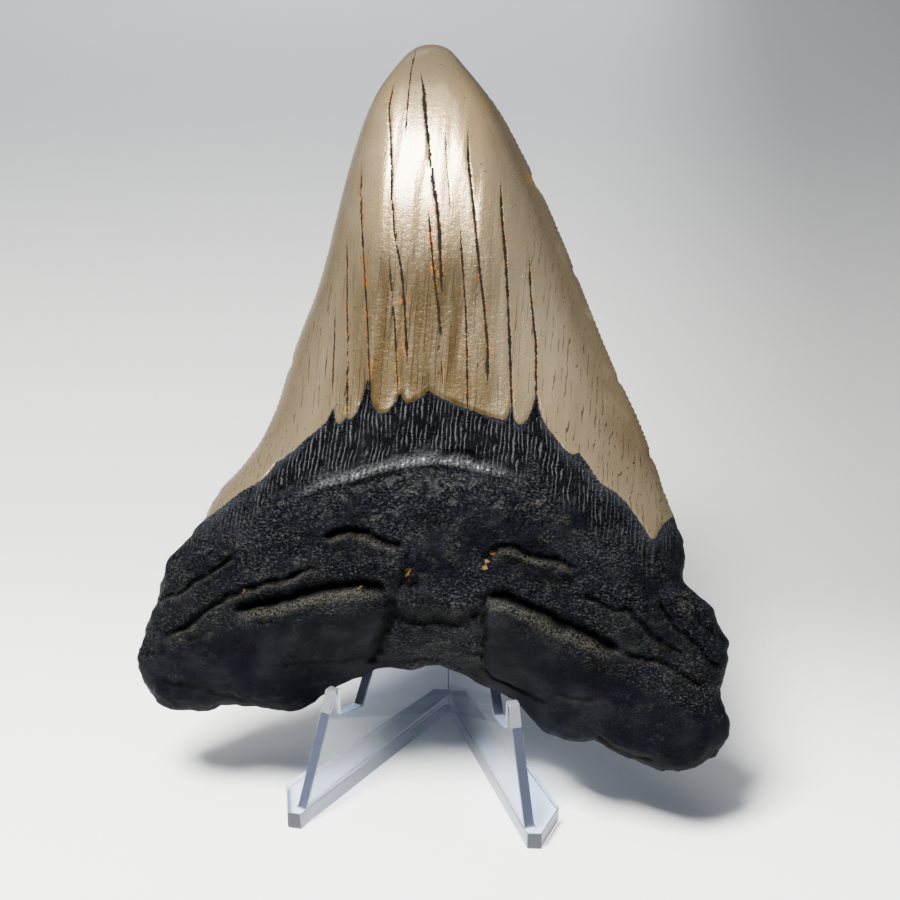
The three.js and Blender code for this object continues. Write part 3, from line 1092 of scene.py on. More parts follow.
            # Detail that stands proud is held back where the tooth rests on the stand.
            from_seat = np.hypot(np.maximum(np.abs(x) - 19.0, 0.0), np.maximum(y - 8.0, 0.0))
            guard = np.where(detail > 0, 0.15 + 0.85 * smoothstep(from_seat, 0.0, 6.0), 1.0)
            height = height + near_edge * (detail * guard + crown)
        else:
            height = height + near_edge * (detail - 0.4 * crown)
        plane = np.stack([*self.outline_detail(place, x, y), height], axis=-1)
        return {
            "points": self.to_world(plane),
            "plane": plane,
            "enamel": enamel,
            "crack_offset": cracks["offset"],
            "crack_width": cracks["width"],
            "stain": cracks["stain"],
            "crease": noise["crumple"],
            "edge": (1 - place["side"]) * (1 - rooty) + rooty,
            **relief,
        }

    def outline_detail(self, place: Masks, x: np.ndarray, y: np.ndarray) -> tuple[np.ndarray, np.ndarray]:
        """Serrates the cutting edges, chips them, and roughens the root's outline.

        Args:
            place: What patch gives.
            x: Places across.
            y: Places up.

        Returns:
            The moved x and y.
        """
        spot = np.stack([x, y, np.zeros_like(x)], axis=-1)
        rooty = self.root_share(y)
        hem = 1 - smoothstep(1 - place["side"], 0.0, 0.035)
        crown = smoothstep(y, 40.0, 44.0) * smoothstep(place["below_tip"], 0.3, 3.0)
        sway = 2.0 * self.wander.layered(spot, (9.0, 9.0, 9.0), 2)
        tooth = 0.5 - 0.5 * np.cos(2 * np.pi * y / self.serration_pitch + sway)
        worn = 0.55 + 0.45 * self.wander.layered(spot, (7.0, 7.0, 7.0), 2)
        cut = crown * hem * self.serration_depth * tooth * np.clip(worn, 0.15, 1.2)
        for cx, cy, size in EDGE_CHIPS:
            cut = cut + self.chip_depth * size * hem * bell(np.hypot(x - cx, (y - cy) * 0.8), size)
        inward = np.where(x > between(self.MIDDLE, y), -1.0, 1.0)
        x = x + inward * cut
        rim = 1 - smoothstep(place["above_rim"], 0.0, 8.0)
        loose = np.maximum(hem, rim) * rooty
        guard = smoothstep(np.abs(np.abs(x) - 17.5), 2.0, 5.0)
        shake_x = self.lumps.layered(spot + 40.0, (7.0, 5.0, 7.0), 4)
        shake_y = self.lumps.layered(spot + 90.0, (6.0, 6.0, 6.0), 4)
        across, up = self.root_outline_shake
        return x + across * shake_x * loose * guard, y + up * shake_y * rim * rooty * guard

    # -- mesh
    def build(self) -> bpy.types.Mesh:
        """Makes the closed mesh of both faces.

        Returns:
            The mesh, with its masks as attributes.
        """
        a, b = self.steps()
        front = self.surface(Face.LINGUAL, a, b)
        back = self.surface(Face.LABIAL, a[::2], b[::2])
        rows, columns = len(b), len(a)
        front_index = np.arange(rows * columns).reshape(rows, columns)
        back_rows, back_columns = len(b[::2]), len(a[::2])
        back_index = front_index[::2, ::2].copy()
        inner = (back_rows - 2) * (back_columns - 2)
        back_index[1:-1, 1:-1] = rows * columns + np.arange(inner).reshape(back_rows - 2, back_columns - 2)
        faces = [tuple(corners) for corners in self.cells(front_index)]
        faces += self.back_cells(back_index, front_index)
        mesh = bpy.data.meshes.new("tooth")
        data = {
            key: np.concatenate([
                front[key].reshape(rows * columns, -1),
                back[key][1:-1, 1:-1].reshape(inner, -1),
            ])
            for key in front
        }
        mesh.from_pydata(data.pop("points").tolist(), [], faces)
        for name, values in data.items():
            kind = "FLOAT_VECTOR" if values.shape[1] == 3 else "FLOAT"
            layer = mesh.attributes.new(name, kind, "POINT")
            field = "vector" if kind == "FLOAT_VECTOR" else "value"
            layer.data.foreach_set(field, values.ravel().astype(np.float32))
        mesh.shade_smooth()
        mesh.validate()
        self.sharpen(mesh, front["plane"][..., 1], front_index)
        return mesh

    def sharpen(self, mesh: bpy.types.Mesh, height: np.ndarray, index: np.ndarray) -> None:
        """Keeps the crown's cutting edges crisp.

        Args:
            mesh: The tooth.
            height: How far up the tooth each point of the front lies.
            index: Point numbers of the front.
        """
        rim = np.zeros(len(mesh.vertices), dtype=bool)
        for strip in (np.s_[:, 0], np.s_[:, -1], np.s_[-1, :]):
            rim[index[strip][height[strip] > self.edge_start]] = True
        ends = np.zeros(2 * len(mesh.edges), dtype=np.int32)
        mesh.edges.foreach_get("vertices", ends)
        sharp = mesh.attributes.new("sharp_edge", "BOOLEAN", "EDGE")
        sharp.data.foreach_set("value", rim[ends.reshape(-1, 2)].all(axis=1))

    @staticmethod
    def cells(index: np.ndarray) -> np.ndarray:
        """Quads of a grid of point numbers, counted anticlockwise from the front."""
        corners = (index[:-1, :-1], index[:-1, 1:], index[1:, 1:], index[1:, :-1])
        return np.stack(corners, axis=-1).reshape(-1, 4)

    @staticmethod
    def back_cells(back: np.ndarray, front: np.ndarray) -> list[tuple[int, ...]]:
        """Faces of the back, whose edge takes in the front's extra edge points.

        Args:
            back: Point numbers of the back, at half the front's density.
            front: Point numbers of the front.

        Returns:
            Faces that look backwards.
        """
        faces = []
        last_row, last_column = back.shape[0] - 2, back.shape[1] - 2
        for j in range(back.shape[0] - 1):
            for i in range(back.shape[1] - 1):
                ring = [back[j, i]]
                if j == 0:
                    ring.append(front[0, 2 * i + 1])
                ring.append(back[j, i + 1])
                if i == last_column:
                    ring.append(front[2 * j + 1, -1])
                ring.append(back[j + 1, i + 1])
                if j == last_row:
                    ring.append(front[-1, 2 * i + 1])
                ring.append(back[j + 1, i])
                if i == 0:
                    ring.append(front[2 * j + 1, 0])
                faces.append(tuple(int(number) for number in reversed(ring)))
        return faces

    # -- finish
    def dress(self, mottle: NodeTree) -> bpy.types.Material:
        """Makes the fossil's material: enamel and root in one, told apart by the enamel border.

        Args:
            mottle: The shared mottle group.

        Returns:
            The material.
        """
        finish = self.enamel
        material, graph = new_material("fossil_tooth")
        plane = graph.add("Attribute", {"attribute_name": "plane"}).outputs["Vector"]
        ragged = graph.minus(graph.noise(plane, 0.7, 3.0), 0.5)
        on_enamel = graph.ramp(graph.plus(graph.read("enamel"), ragged), -0.12, 0.12)
        enamel = self.enamel_nodes(graph, plane, mottle)
        root = self.root_nodes(graph, plane, mottle)
        colour = graph.mix(on_enamel, root["colour"], enamel["colour"])
        kind = {"data_type": "FLOAT"}
        number = {
            name: graph.add("Mix", kind, Factor=on_enamel, A=root[name], B=enamel[name]).outputs[0]
            for name in ("roughness", "height", "coat", "metallic")
        }
        relief = graph.add("Bump", Strength=1.0, Distance=MM, Height=number["height"])
        shader = graph.add(
            "BsdfPrincipled", Base_Color=colour, Roughness=number["roughness"], Coat_Weight=number["coat"],
            Metallic=number["metallic"], Coat_Roughness=finish.coat_roughness, Coat_IOR=finish.coat_ior,
            Specular_IOR_Level=finish.specular, IOR=finish.ior, Specular_Tint=(*finish.specular_tint, 1.0),
            Normal=relief.outputs[0],
        )
        graph.add("OutputMaterial", Surface=shader.outputs[0])
        return material

    @staticmethod
    def orange_mask(graph: Graph, plane: object) -> Socket:
        """Mask of the small orange deposits.

        Args:
            graph: The material's graph.
            plane: Places in the tooth's plane.

        Returns:
            1 on the deposits.
        """
        return graph.ramp(graph.times(graph.read("orange"), graph.noise(plane, 0.6, 2.0)), 0.2, 0.36)

    @staticmethod
    def hairlines(graph: Graph, plane: object, x: object, y: object) -> Socket:
        """Mask of the hairlines that run up the enamel between its cracks.

        Args:
            graph: The material's graph.
            plane: Places in the tooth's plane.
            x: Places across.
            y: Places up.

        Returns:
            1 on the hairlines.
        """
        sway = graph.times(graph.noise(plane, 4.0, 3.0, (1.0, 0.14, 1.0)), 2.4)
        strand = graph.math("FRACT", graph.line(x, 0.9, sway))
        thread = graph.ramp(graph.away(strand, 0.5), 0.1, 0.025)
        patches = graph.ramp(graph.noise(plane, 1.6, 3.0, (1.0, 0.1, 1.0)), 0.47, 0.56)
        off_edge = graph.ramp(graph.read("edge"), 0.03, 0.16)
        return graph.times(thread, patches, graph.ramp(y, 118.0, 62.0), off_edge)

    @staticmethod
    def crack_masks(graph: Graph, plane: object) -> tuple[Socket, Socket]:
        """Masks of the crown's cracks and of the rusty stain beside them.

        Args:
            graph: The material's graph.
            plane: Places in the tooth's plane.

        Returns:
            The cracks' dark core and the stain.
        """
        wobble = graph.times(graph.minus(graph.noise(plane, 0.45, 4.0), 0.5), 0.6)
        away = graph.math("ABSOLUTE", graph.plus(graph.read("crack_offset"), wobble))
        swell = graph.ramp(graph.noise(plane, 0.9, 4.0, (0.4, 0.35, 1.0)), 0.3, 0.75)
        width = graph.times(graph.read("crack_width"), graph.line(swell, 1.15, 0.48))
        ratio = graph.math("DIVIDE", away, graph.math("MAXIMUM", width, 0.001))
        broken = graph.ramp(graph.noise(plane, 1.1, 3.0, (1.0, 0.4, 1.0)), 0.14, 0.26)
        core = graph.times(graph.ramp(ratio, 1.25, 0.55), broken)
        rust = graph.ramp(graph.noise(plane, 1.5, 4.0, (1.0, 0.5, 1.0)), 0.5, 0.62)
        stain = graph.times(graph.ramp(ratio, 6.0, 0.8), rust, graph.read("stain"))
        return core, graph.math("MULTIPLY", stain, 1.6, clamp=True)

    def enamel_nodes(self, graph: Graph, plane: object, mottle: NodeTree) -> dict[str, object]:
        """Nodes of the enamel.

        Args:
            graph: The material's graph.
            plane: Places in the tooth's plane.
            mottle: The shared mottle group.

        Returns:
            Sockets for colour, roughness, coat, metallic and bump height.
        """
        finish = self.enamel
        split = graph.add("SeparateXYZ", Vector=plane)
        x, y = split.outputs[0], split.outputs[1]
        cloud = graph.group(mottle, Vector=plane, Cloud_Size=9.0, Grain_Size=0.35)
        clouds, grain = cloud.outputs["Cloud"], cloud.outputs["Grain"]
        streaks = graph.noise(plane, 2.2, 5.0, (1.0, 0.09, 1.0))
        polish = graph.line(graph.ramp(y, *finish.polished_y), 0.6, 0.4)
        low = graph.ramp(graph.away(x, -1.0), *finish.golden_away)
        low = graph.times(low, graph.ramp(y, *finish.golden_y))
        # Painted highlight: warm cream in the middle of the upper crown, where the highlight falls.
        painted_highlight = graph.ramp(graph.away(x, -4.0), *finish.highlight_away)
        for span in finish.highlight_y:
            painted_highlight = graph.times(painted_highlight, graph.ramp(y, *span))
        # Painted shade: olive along the steep flanks at the edges.
        shaded_margin = graph.times(graph.ramp(graph.read("edge"), 0.26, 0.02), graph.ramp(clouds, 0.2, 0.5))
        colour = graph.layers(finish.tan, (
            (graph.ramp(clouds, 0.42, 0.85), 1.0, finish.pale),
            (graph.line(polish, -0.8, 0.8), 1.0, finish.dull),
            (graph.times(low, graph.ramp(streaks, 0.0, 0.68)), 1.0, finish.golden),
            # Painted light: the pale colour again, laid over the right flank.
            (graph.times(graph.ramp(x, *finish.painted_light_x), graph.ramp(y, *finish.painted_light_y)), 0.7, finish.pale),
            # Painted shade: olive on the far right.
            (graph.ramp(x, *finish.shaded_right_x), 0.3, finish.olive_shade),
            (painted_highlight, 0.7, finish.painted_highlight),
            (shaded_margin, 0.75, finish.olive_shade),
            # Painted shade: olive at the tip and on the far left.
            (graph.ramp(y, *finish.shaded_tip_y), 0.4, finish.olive_shade),
            (graph.ramp(x, *finish.shaded_left_x), 0.25, finish.olive_shade),
        ))
        hairline = self.hairlines(graph, plane, x, y)
        core, stain = self.crack_masks(graph, plane)
        peel = graph.noise(plane, 0.9, 2.0)
        pits = graph.add("TexVoronoi", Vector=plane, Scale=0.6, Randomness=1.0).outputs["Distance"]
        pit = graph.times(graph.ramp(pits, 0.13, 0.07), graph.ramp(peel, 0.46, 0.56))
        colour = graph.layers(colour, (
            (hairline, 0.8, finish.crack),
            (stain, 1.0, finish.stain),
            (core, 1.0, finish.crack),
            (pit, 0.7, finish.crack),
            (self.orange_mask(graph, plane), 1.0, finish.chip),
        ))
        rough = graph.line(grain, 0.22, finish.roughness - 0.1)
        rough = graph.plus(rough, graph.times(core, 0.3))
        height = 0.0
        for texture, depth in ((grain, 0.03), (peel, 0.07), (streaks, 0.1)):
            height = graph.plus(height, graph.times(graph.minus(texture, 0.5), depth))
        for hollow, depth in ((core, 0.1), (hairline, 0.02), (pit, 0.1)):
            height = graph.minus(height, graph.times(hollow, depth))
        coat = graph.line(graph.math("MAXIMUM", core, pit), -finish.coat, finish.coat)
        coat = graph.times(coat, graph.ramp(graph.read("enamel"), 0.0, 1.2))
        coat = graph.times(coat, graph.ramp(graph.read("edge"), 0.03, 0.36), polish)
        metallic = graph.line(core, -finish.sheen, finish.sheen)
        metallic = graph.times(metallic, graph.ramp(graph.read("edge"), 0.0, 0.14), polish)
        return {"colour": colour, "roughness": rough, "height": height, "coat": coat, "metallic": metallic}

    def ridge_masks(
        self, graph: Graph, plane: object, x: object, drift: object, ripples: object
    ) -> tuple[Socket, Socket]:
        """Masks of the pale band and of the painted glints on the beads along the ridge under the enamel.

        Args:
            graph: The material's graph.
            plane: Places in the tooth's plane.
            x: Places across.
            drift: A slow sway that spaces the beads unevenly.
            ripples: The root's fine ripples.

        Returns:
            The band's mask and the mask of the beads' painted glints.
        """
        finish = self.root
        arc = graph.read("above_ridge")
        near = graph.ramp(graph.away(x, self.RIDGE_X), *finish.ridge_away)
        band, glint = (
            graph.times(graph.ramp(arc, *rise), graph.ramp(arc, *fall), near)
            for rise, fall in (finish.band_above, finish.glint_above)
        )
        band = graph.times(band, graph.ramp(ripples, 0.36, 0.6))
        beads = graph.math("FRACT", graph.line(x, 1.0, graph.times(drift, 0.5)))
        beads = graph.ramp(graph.away(beads, 0.5), 0.42, 0.14)
        return band, graph.times(glint, beads, graph.ramp(graph.noise(plane, 1.2, 3.0), 0.42, 0.6))

    def root_nodes(self, graph: Graph, plane: object, mottle: NodeTree) -> dict[str, object]:
        """Nodes of the root.

        Args:
            graph: The material's graph.
            plane: Places in the tooth's plane.
            mottle: The shared mottle group.

        Returns:
            Sockets for colour, roughness, coat, metallic and bump height.
        """
        finish = self.root
        smooth, neck, dust_and_light, crumple = (graph.read(name) for name in ("smooth", "neck", "dust_and_light", "crease"))
        x = graph.add("SeparateXYZ", Vector=plane).outputs[0]
        cloud = graph.group(mottle, Vector=plane, Cloud_Size=7.0, Grain_Size=0.45)
        clouds, grain = cloud.outputs["Cloud"], cloud.outputs["Grain"]
        grit = graph.add("TexVoronoi", Vector=plane, Scale=1.5).outputs["Distance"]
        drift = graph.times(graph.noise(plane, 2.6, 3.0, (1.0, 0.3, 1.0)), 2.6)
        comb = graph.ramp(graph.away(graph.math("FRACT", graph.line(x, 1.2, drift)), 0.5), 0.26, 0.06)
        gaps = graph.ramp(graph.noise(plane, 1.3, 2.0, (1.0, 0.3, 1.0)), 0.38, 0.55)
        striae = graph.times(comb, gaps, neck)
        hem_end = graph.line(graph.ramp(graph.away(x, self.RIDGE_X), 10.0, 34.0), -3.0, -0.7)
        hem = graph.math("SUBTRACT", 1.0, graph.math("DIVIDE", graph.read("enamel"), hem_end), clamp=True)
        hem = graph.times(hem, graph.ramp(clouds, 0.3, 0.55))
        ripples = graph.noise(plane, 0.55, 4.0, (1.0, 1.7, 1.0))
        patchy = graph.ramp(graph.noise(plane, 6.5, 3.0, (1.0, 1.6, 1.0)), 0.4, 0.58)
        gritty = graph.times(graph.line(smooth, -0.6, 0.85), graph.line(patchy, 0.7, 0.3))
        bare = graph.times(gritty, graph.math("SUBTRACT", 1.0, neck, clamp=True))
        # Painted light: the dust colour lightens the crumple's raised crests.
        crest = graph.times(graph.ramp(crumple, -0.05, 0.4), bare, graph.ramp(ripples, 0.42, 0.66))
        # Partly painted glints: light specks over the grainy rock.
        grain_and_glint = graph.ramp(graph.noise(plane, 10.0, 2.0), 0.3, 0.62)
        grain_and_glint = graph.times(grain_and_glint, graph.ramp(ripples, 0.49, 0.72))
        grain_and_glint = graph.times(grain_and_glint, graph.line(smooth, -0.85, 1.0), graph.line(neck, -0.8, 1.0))
        band, glint = self.ridge_masks(graph, plane, x, drift, ripples)
        colour = graph.layers(finish.black, (
            (graph.ramp(clouds, 0.4, 0.75), 1.0, finish.slate),
            (neck, 0.8, finish.neck),
            (striae, 0.95, finish.wall),
            (hem, 0.9, finish.hem),
            (graph.times(graph.ramp(ripples, 0.5, 0.38), gritty), 1.0, finish.pit),
            # Painted shade in the crumple's creases.
            (graph.times(graph.ramp(crumple, -0.14, -0.27), bare), 0.9, finish.crease),
            (crest, 0.55, finish.dust_and_light),
            (grain_and_glint, 0.62, finish.streak_and_glint),
            (band, 0.8, finish.streak_and_glint),
            # Painted glints along the ridge's beads.
            (glint, 0.8, finish.glint),
            # Dust and painted light on the ledges' rims.
            (graph.times(dust_and_light, graph.ramp(graph.noise(plane, 0.36, 3.0), 0.42, 0.6)), 0.8, finish.dust_and_light),
            (self.orange_mask(graph, plane), 1.0, finish.orange),
            # Painted shade in the crevices and pores.
            (graph.read("cavity_shade"), 0.85, finish.cavity_shade),
        ))
        rough = graph.line(grain, 0.25, finish.roughness - 0.12)
        for mask, extra in ((dust_and_light, 0.3), (smooth, 0.06)):
            rough = graph.plus(rough, graph.times(mask, extra))
        coarse = graph.plus(graph.times(graph.minus(grain, 0.5), 0.4), graph.times(grit, 0.1))
        calm = graph.times(graph.line(smooth, -0.8, 1.0), graph.line(patchy, 0.5, 0.6))
        height = graph.plus(graph.times(coarse, calm), graph.times(striae, 0.25))
        sheen = graph.times(calm, graph.line(neck, -1.0, 1.0), finish.coat)
        coat = graph.line(glint, finish.glint_coat, sheen)
        return {"colour": colour, "roughness": rough, "height": height, "coat": coat, "metallic": 0.0}

    def make(self, mottle: NodeTree) -> bpy.types.Object:
        """Builds and dresses the tooth.

        Args:
            mottle: The shared mottle group.

        Returns:
            The piece.
        """
        piece = add_object("megalodon_tooth", self.build(), self.dress(mottle))
        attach(piece, "root")
        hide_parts("tooth")
        return piece


# ---------------------------------------------------------------- stand
@dataclass(frozen=True)
class AcrylicFinish:
    """Clear moulded acrylic with a faint blue tint in its thickness."""

    clear: Colour = (0.62, 0.66, 0.725)
    glare: Colour = (0.22, 0.23, 0.26)
    shadow: Colour = (0.86, 0.88, 0.92)
    edge: Colour = (0.062, 0.07, 0.112)
    toe: Colour = (0.02, 0.024, 0.042)
    ior: float = 1.49
    absorption: Colour = (0.72, 0.78, 0.9)
    density: float = 120.0
    roughness: float = 0.02
    edge_roughness: float = 0.22
    transmission: float = 0.9
    edge_transmission: float = 0.45


@dataclass
class Stand:
    """The clear V stand: two walls that meet at the back, on a flat flange."""

    wall_thickness: float = 2.2
    wall_length: float = 51.7
    half_angle: float = 25.0
    corner_y: float = -2.5
    base_thickness: float = 3.5
    wall_height: float = 46.0
    knee: Point = (9.9, 20.6)
    lip_height: float = 24.8
    lip_front: float = 11.3
    lip_back: float = 13.7
    lip_rounding: float = 0.85
    notch_front: Point = (13.6, 18.6)
    notch_back: Point = (20.7, 17.2)
    rest_rounding: float = 2.0
    rest_lean: float = 27.5
    toe: Point = (24.6, -49.1)
    shoulder: Point = (27.1, -39.5)
    heel: Point = (4.9, 2.0)
    edge_radius: float = 0.28
    # How far a face may turn from a wall's broad side, and from level, and still count as a cut edge.
    broad_limit: float = 0.6
    level_limit: float = 0.9
    # How close two points are to be welded, and the angle in degrees from which an edge is bevelled.
    weld: float = 0.002
    sharp_angle: float = 40.0
    finish: AcrylicFinish = AcrylicFinish()

    @staticmethod
    def arc(start: Point, middle: Point, end: Point, steps: int = 6) -> list[Point]:
        """Rounds a corner.

        Args:
            start: Where the rounding starts.
            middle: The sharp corner.
            end: Where the rounding ends.
            steps: How many straight pieces it is cut into.

        Returns:
            Points from start to end, pulled towards the corner.
        """
        points = []
        for share in np.linspace(0.0, 1.0, steps + 1):
            near, far, both = (1 - share) ** 2, share**2, 2 * share * (1 - share)
            points.append(tuple(near * s + both * m + far * e for s, m, e in zip(start, middle, end)))
        return points

    def wall_outline(self) -> list[Point]:
        """Side view of a wall from its foot: distance along it and height, without its back end.

        Returns:
            Points from the back-rest's top round the lip to the foot.
        """
        rise = self.wall_height - self.notch_back[1]
        run = rise * math.tan(math.radians(self.rest_lean)) / math.cos(math.radians(self.half_angle))
        top = self.notch_back[0] + run
        down = self.rest_rounding * run / rise
        tall, rounding = self.wall_height, self.rest_rounding
        lip, front, back, radius = self.lip_height, self.lip_front, self.lip_back, self.lip_rounding
        points = self.arc((top + rounding, tall), (top, tall), (top - down, tall - rounding))
        points += [self.notch_back, self.notch_front]
        points += self.arc((back, lip - radius), (back, lip), (back - radius, lip))
        points += self.arc((front + radius, lip), (front, lip), (front, lip - radius))
        return points + [self.knee, (0.0, 0.0)]

    def wall(self, side: int) -> bmesh.types.BMesh:
        """One wall, mitred where it meets the other.

        Args:
            side: 1 for the right wall, -1 for the left.

        Returns:
            The closed wall, in metres.
        """
        angle = math.radians(self.half_angle)
        along = Vector((-side * math.sin(angle), math.cos(angle), 0.0))
        out = Vector((side * math.cos(angle), math.sin(angle), 0.0))
        foot = Vector((0.0, self.corner_y, 0.0)) - along * self.wall_length
        mitre = self.wall_thickness / math.tan(angle)
        solid = bmesh.new()
        rings = []
        for offset, extra in ((0.0, 0.0), (self.wall_thickness, mitre)):
            outline = self.wall_outline()
            outline += [(self.wall_length + extra, 0.0), (self.wall_length + extra, self.wall_height)]
            ring = [foot + along * s + out * offset + Vector((0, 0, z)) for s, z in outline]
            rings.append([solid.verts.new(point * MM) for point in ring])
        inner, outer = rings
        solid.faces.new(inner)
        solid.faces.new(list(reversed(outer)))
        for index in range(len(inner)):
            after = (index + 1) % len(inner)
            solid.faces.new((inner[after], inner[index], outer[index], outer[after]))
        bmesh.ops.recalc_face_normals(solid, faces=solid.faces)
        return solid

    def base(self) -> bmesh.types.BMesh:
        """The flat V flange.

        Returns:
            The closed flange, in metres.
        """
        angle = math.radians(self.half_angle)
        foot = (self.wall_length * math.sin(angle), self.corner_y - self.wall_length * math.cos(angle))
        right = [foot, self.toe, self.shoulder, self.heel]
        plan = [(0.0, self.corner_y), *right, *((-x, y) for x, y in reversed(right))]
        solid = bmesh.new()
        floor = [solid.verts.new(Vector((x, y, 0.0)) * MM) for x, y in plan]
        bottom = solid.faces.new(floor)
        raised = bmesh.ops.extrude_face_region(solid, geom=[bottom])["geom"]
        top = [element for element in raised if isinstance(element, bmesh.types.BMVert)]
        bmesh.ops.translate(solid, verts=top, vec=(0.0, 0.0, self.base_thickness * MM))
        bmesh.ops.recalc_face_normals(solid, faces=solid.faces)
        return solid

    def build(self) -> bpy.types.Mesh:
        """Joins walls and flange in one moulding with softened edges.

        Returns:
            The mesh, with a mask of its cut edges.
        """
        parts = []
        solids = {"wall_right": self.wall(1), "wall_left": self.wall(-1), "flange": self.base()}
        for name, solid in solids.items():
            mesh = bpy.data.meshes.new(name)
            solid.to_mesh(mesh)
            solid.free()
            part = bpy.data.objects.new(name, mesh)
            bpy.context.scene.collection.objects.link(part)
            parts.append(part)
        body = parts[0]
        for other in parts[1:]:
            join = body.modifiers.new(other.name, "BOOLEAN")
            join.operation, join.solver, join.object = "UNION", "EXACT", other
        joined = bmesh.new()
        joined.from_object(body, bpy.context.evaluated_depsgraph_get())
        for part in parts:
            bpy.data.objects.remove(part)
        bmesh.ops.remove_doubles(joined, verts=joined.verts, dist=self.weld * MM)
        bmesh.ops.dissolve_limit(joined, angle_limit=math.radians(2), verts=joined.verts, edges=joined.edges)
        corner = math.radians(self.sharp_angle)
        paired = (edge for edge in joined.edges if len(edge.link_faces) == 2)
        sharp = [edge for edge in paired if edge.calc_face_angle() > corner]
        bmesh.ops.bevel(joined, geom=sharp, offset=self.edge_radius * MM, segments=3, profile=0.5,
                        affect="EDGES", clamp_overlap=True)
        bmesh.ops.triangulate(joined, faces=joined.faces)
        mesh = bpy.data.meshes.new("stand")
        joined.to_mesh(mesh)
        joined.free()
        self.mark_edges(mesh)
        return mesh

    def mark_edges(self, mesh: bpy.types.Mesh) -> None:
        """Marks the narrow faces across the walls' thickness.

        Args:
            mesh: The moulding.
        """
        angle = math.radians(self.half_angle)
        layer = mesh.attributes.new("lip", "FLOAT", "FACE")
        toes = mesh.attributes.new("toe", "FLOAT", "FACE")
        for polygon in mesh.polygons:
            normal = polygon.normal
            side = math.copysign(1.0, polygon.center.x)
            broad = abs(normal.dot(Vector((side * math.cos(angle), math.sin(angle), 0.0))))
            height = polygon.center.z / MM
            on_wall = height > self.base_thickness + 0.1
            toe = not on_wall and normal.y < -0.15 and normal.x * side > -0.3 and abs(normal.z) < 0.3
            narrow = broad < self.broad_limit if on_wall else toe
            lip = self.knee[1] - 0.5 < height < self.lip_height + 1
            polygon.material_index = int(narrow and (lip or abs(normal.z) < self.level_limit))
            layer.data[polygon.index].value = float(lip)
            toes.data[polygon.index].value = float(toe)

    def dress(self, mottle: NodeTree, cut: bool) -> bpy.types.Material:
        """Makes the clear acrylic, or its cut edges.

        Args:
            mottle: The shared mottle group.
            cut: Whether this is for the cut edges, which scatter some light.

        Returns:
            The material.
        """
        finish = self.finish
        material, graph = new_material("acrylic_cut_edge" if cut else "clear_acrylic")
        place = graph.add("TexCoord").outputs["Object"]
        smudge = graph.group(mottle, Vector=place, Cloud_Size=0.012, Grain_Size=0.0012)
        base = finish.edge_roughness if cut else finish.roughness
        rough = graph.line(graph.ramp(smudge.outputs["Cloud"], 0.5, 0.8), 0.05, base)
        tone = finish.edge if cut else finish.clear
        dim = tuple(channel * 0.93 for channel in tone)
        colour = graph.mix(smudge.outputs["Cloud"], tone, dim)
        if cut:
            lit, dark = (graph.read("lip"), 1.0, finish.glare), (graph.read("toe"), 1.0, finish.toe)
            colour = graph.layers(colour, (lit, dark))
        passing = finish.edge_transmission if cut else finish.transmission
        shader = graph.add("BsdfPrincipled", Base_Color=colour, Roughness=rough, IOR=finish.ior,
                           Transmission_Weight=passing)
        clear = graph.add("BsdfTransparent", Color=(*finish.shadow, 1.0))
        shadow = graph.add("LightPath").outputs["Is Shadow Ray"]
        surface = graph.add("MixShader", Fac=shadow)
        graph.feed(surface.inputs[1], shader.outputs[0])
        graph.feed(surface.inputs[2], clear.outputs[0])
        tint = graph.add("VolumeAbsorption", Color=(*finish.absorption, 1.0), Density=finish.density)
        graph.add("OutputMaterial", Surface=surface.outputs[0], Volume=tint.outputs[0])
        return material

    def make(self, mottle: NodeTree) -> bpy.types.Object:
        """Builds and dresses the stand.

        Args:
            mottle: The shared mottle group.

        Returns:
            The piece.
        """
        mesh = self.build()
        piece = add_object("display_stand", mesh, self.dress(mottle, cut=False))
        mesh.materials.append(self.dress(mottle, cut=True))
        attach(piece, "root")
        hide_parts("stand")
        return piece


# ---------------------------------------------------------------- studio
@dataclass(frozen=True)
class Lamp:
    """A soft square light: its place, what it points at, width, watts, colour and spread in degrees."""

    name: str
    place: Place
    target: Place
    size: float
    watts: float
    tint: Colour
    spread: float = 180.0


LAMPS: tuple[Lamp, ...] = (
    Lamp("key", (-0.128, -0.235, 0.53), (0.0, -0.02, 0.04), 0.18, 17.6, (1.0, 0.965, 0.9)),
    Lamp("overhead", (-0.08, -0.07, 0.65), (0.0, -0.01, 0.1), 0.34, 1.7, (1.0, 0.97, 0.92)),
    Lamp("left_softbox", (-0.4, -0.05, 0.45), (0.0, -0.02, 0.08), 0.4, 0.3, (1.0, 0.98, 0.94)),
    Lamp("backdrop", (-0.4, 1.3, 0.9), (-0.25, 1.2, 0.0), 0.8, 4.6, (0.94, 0.97, 1.0), 90.0),
)


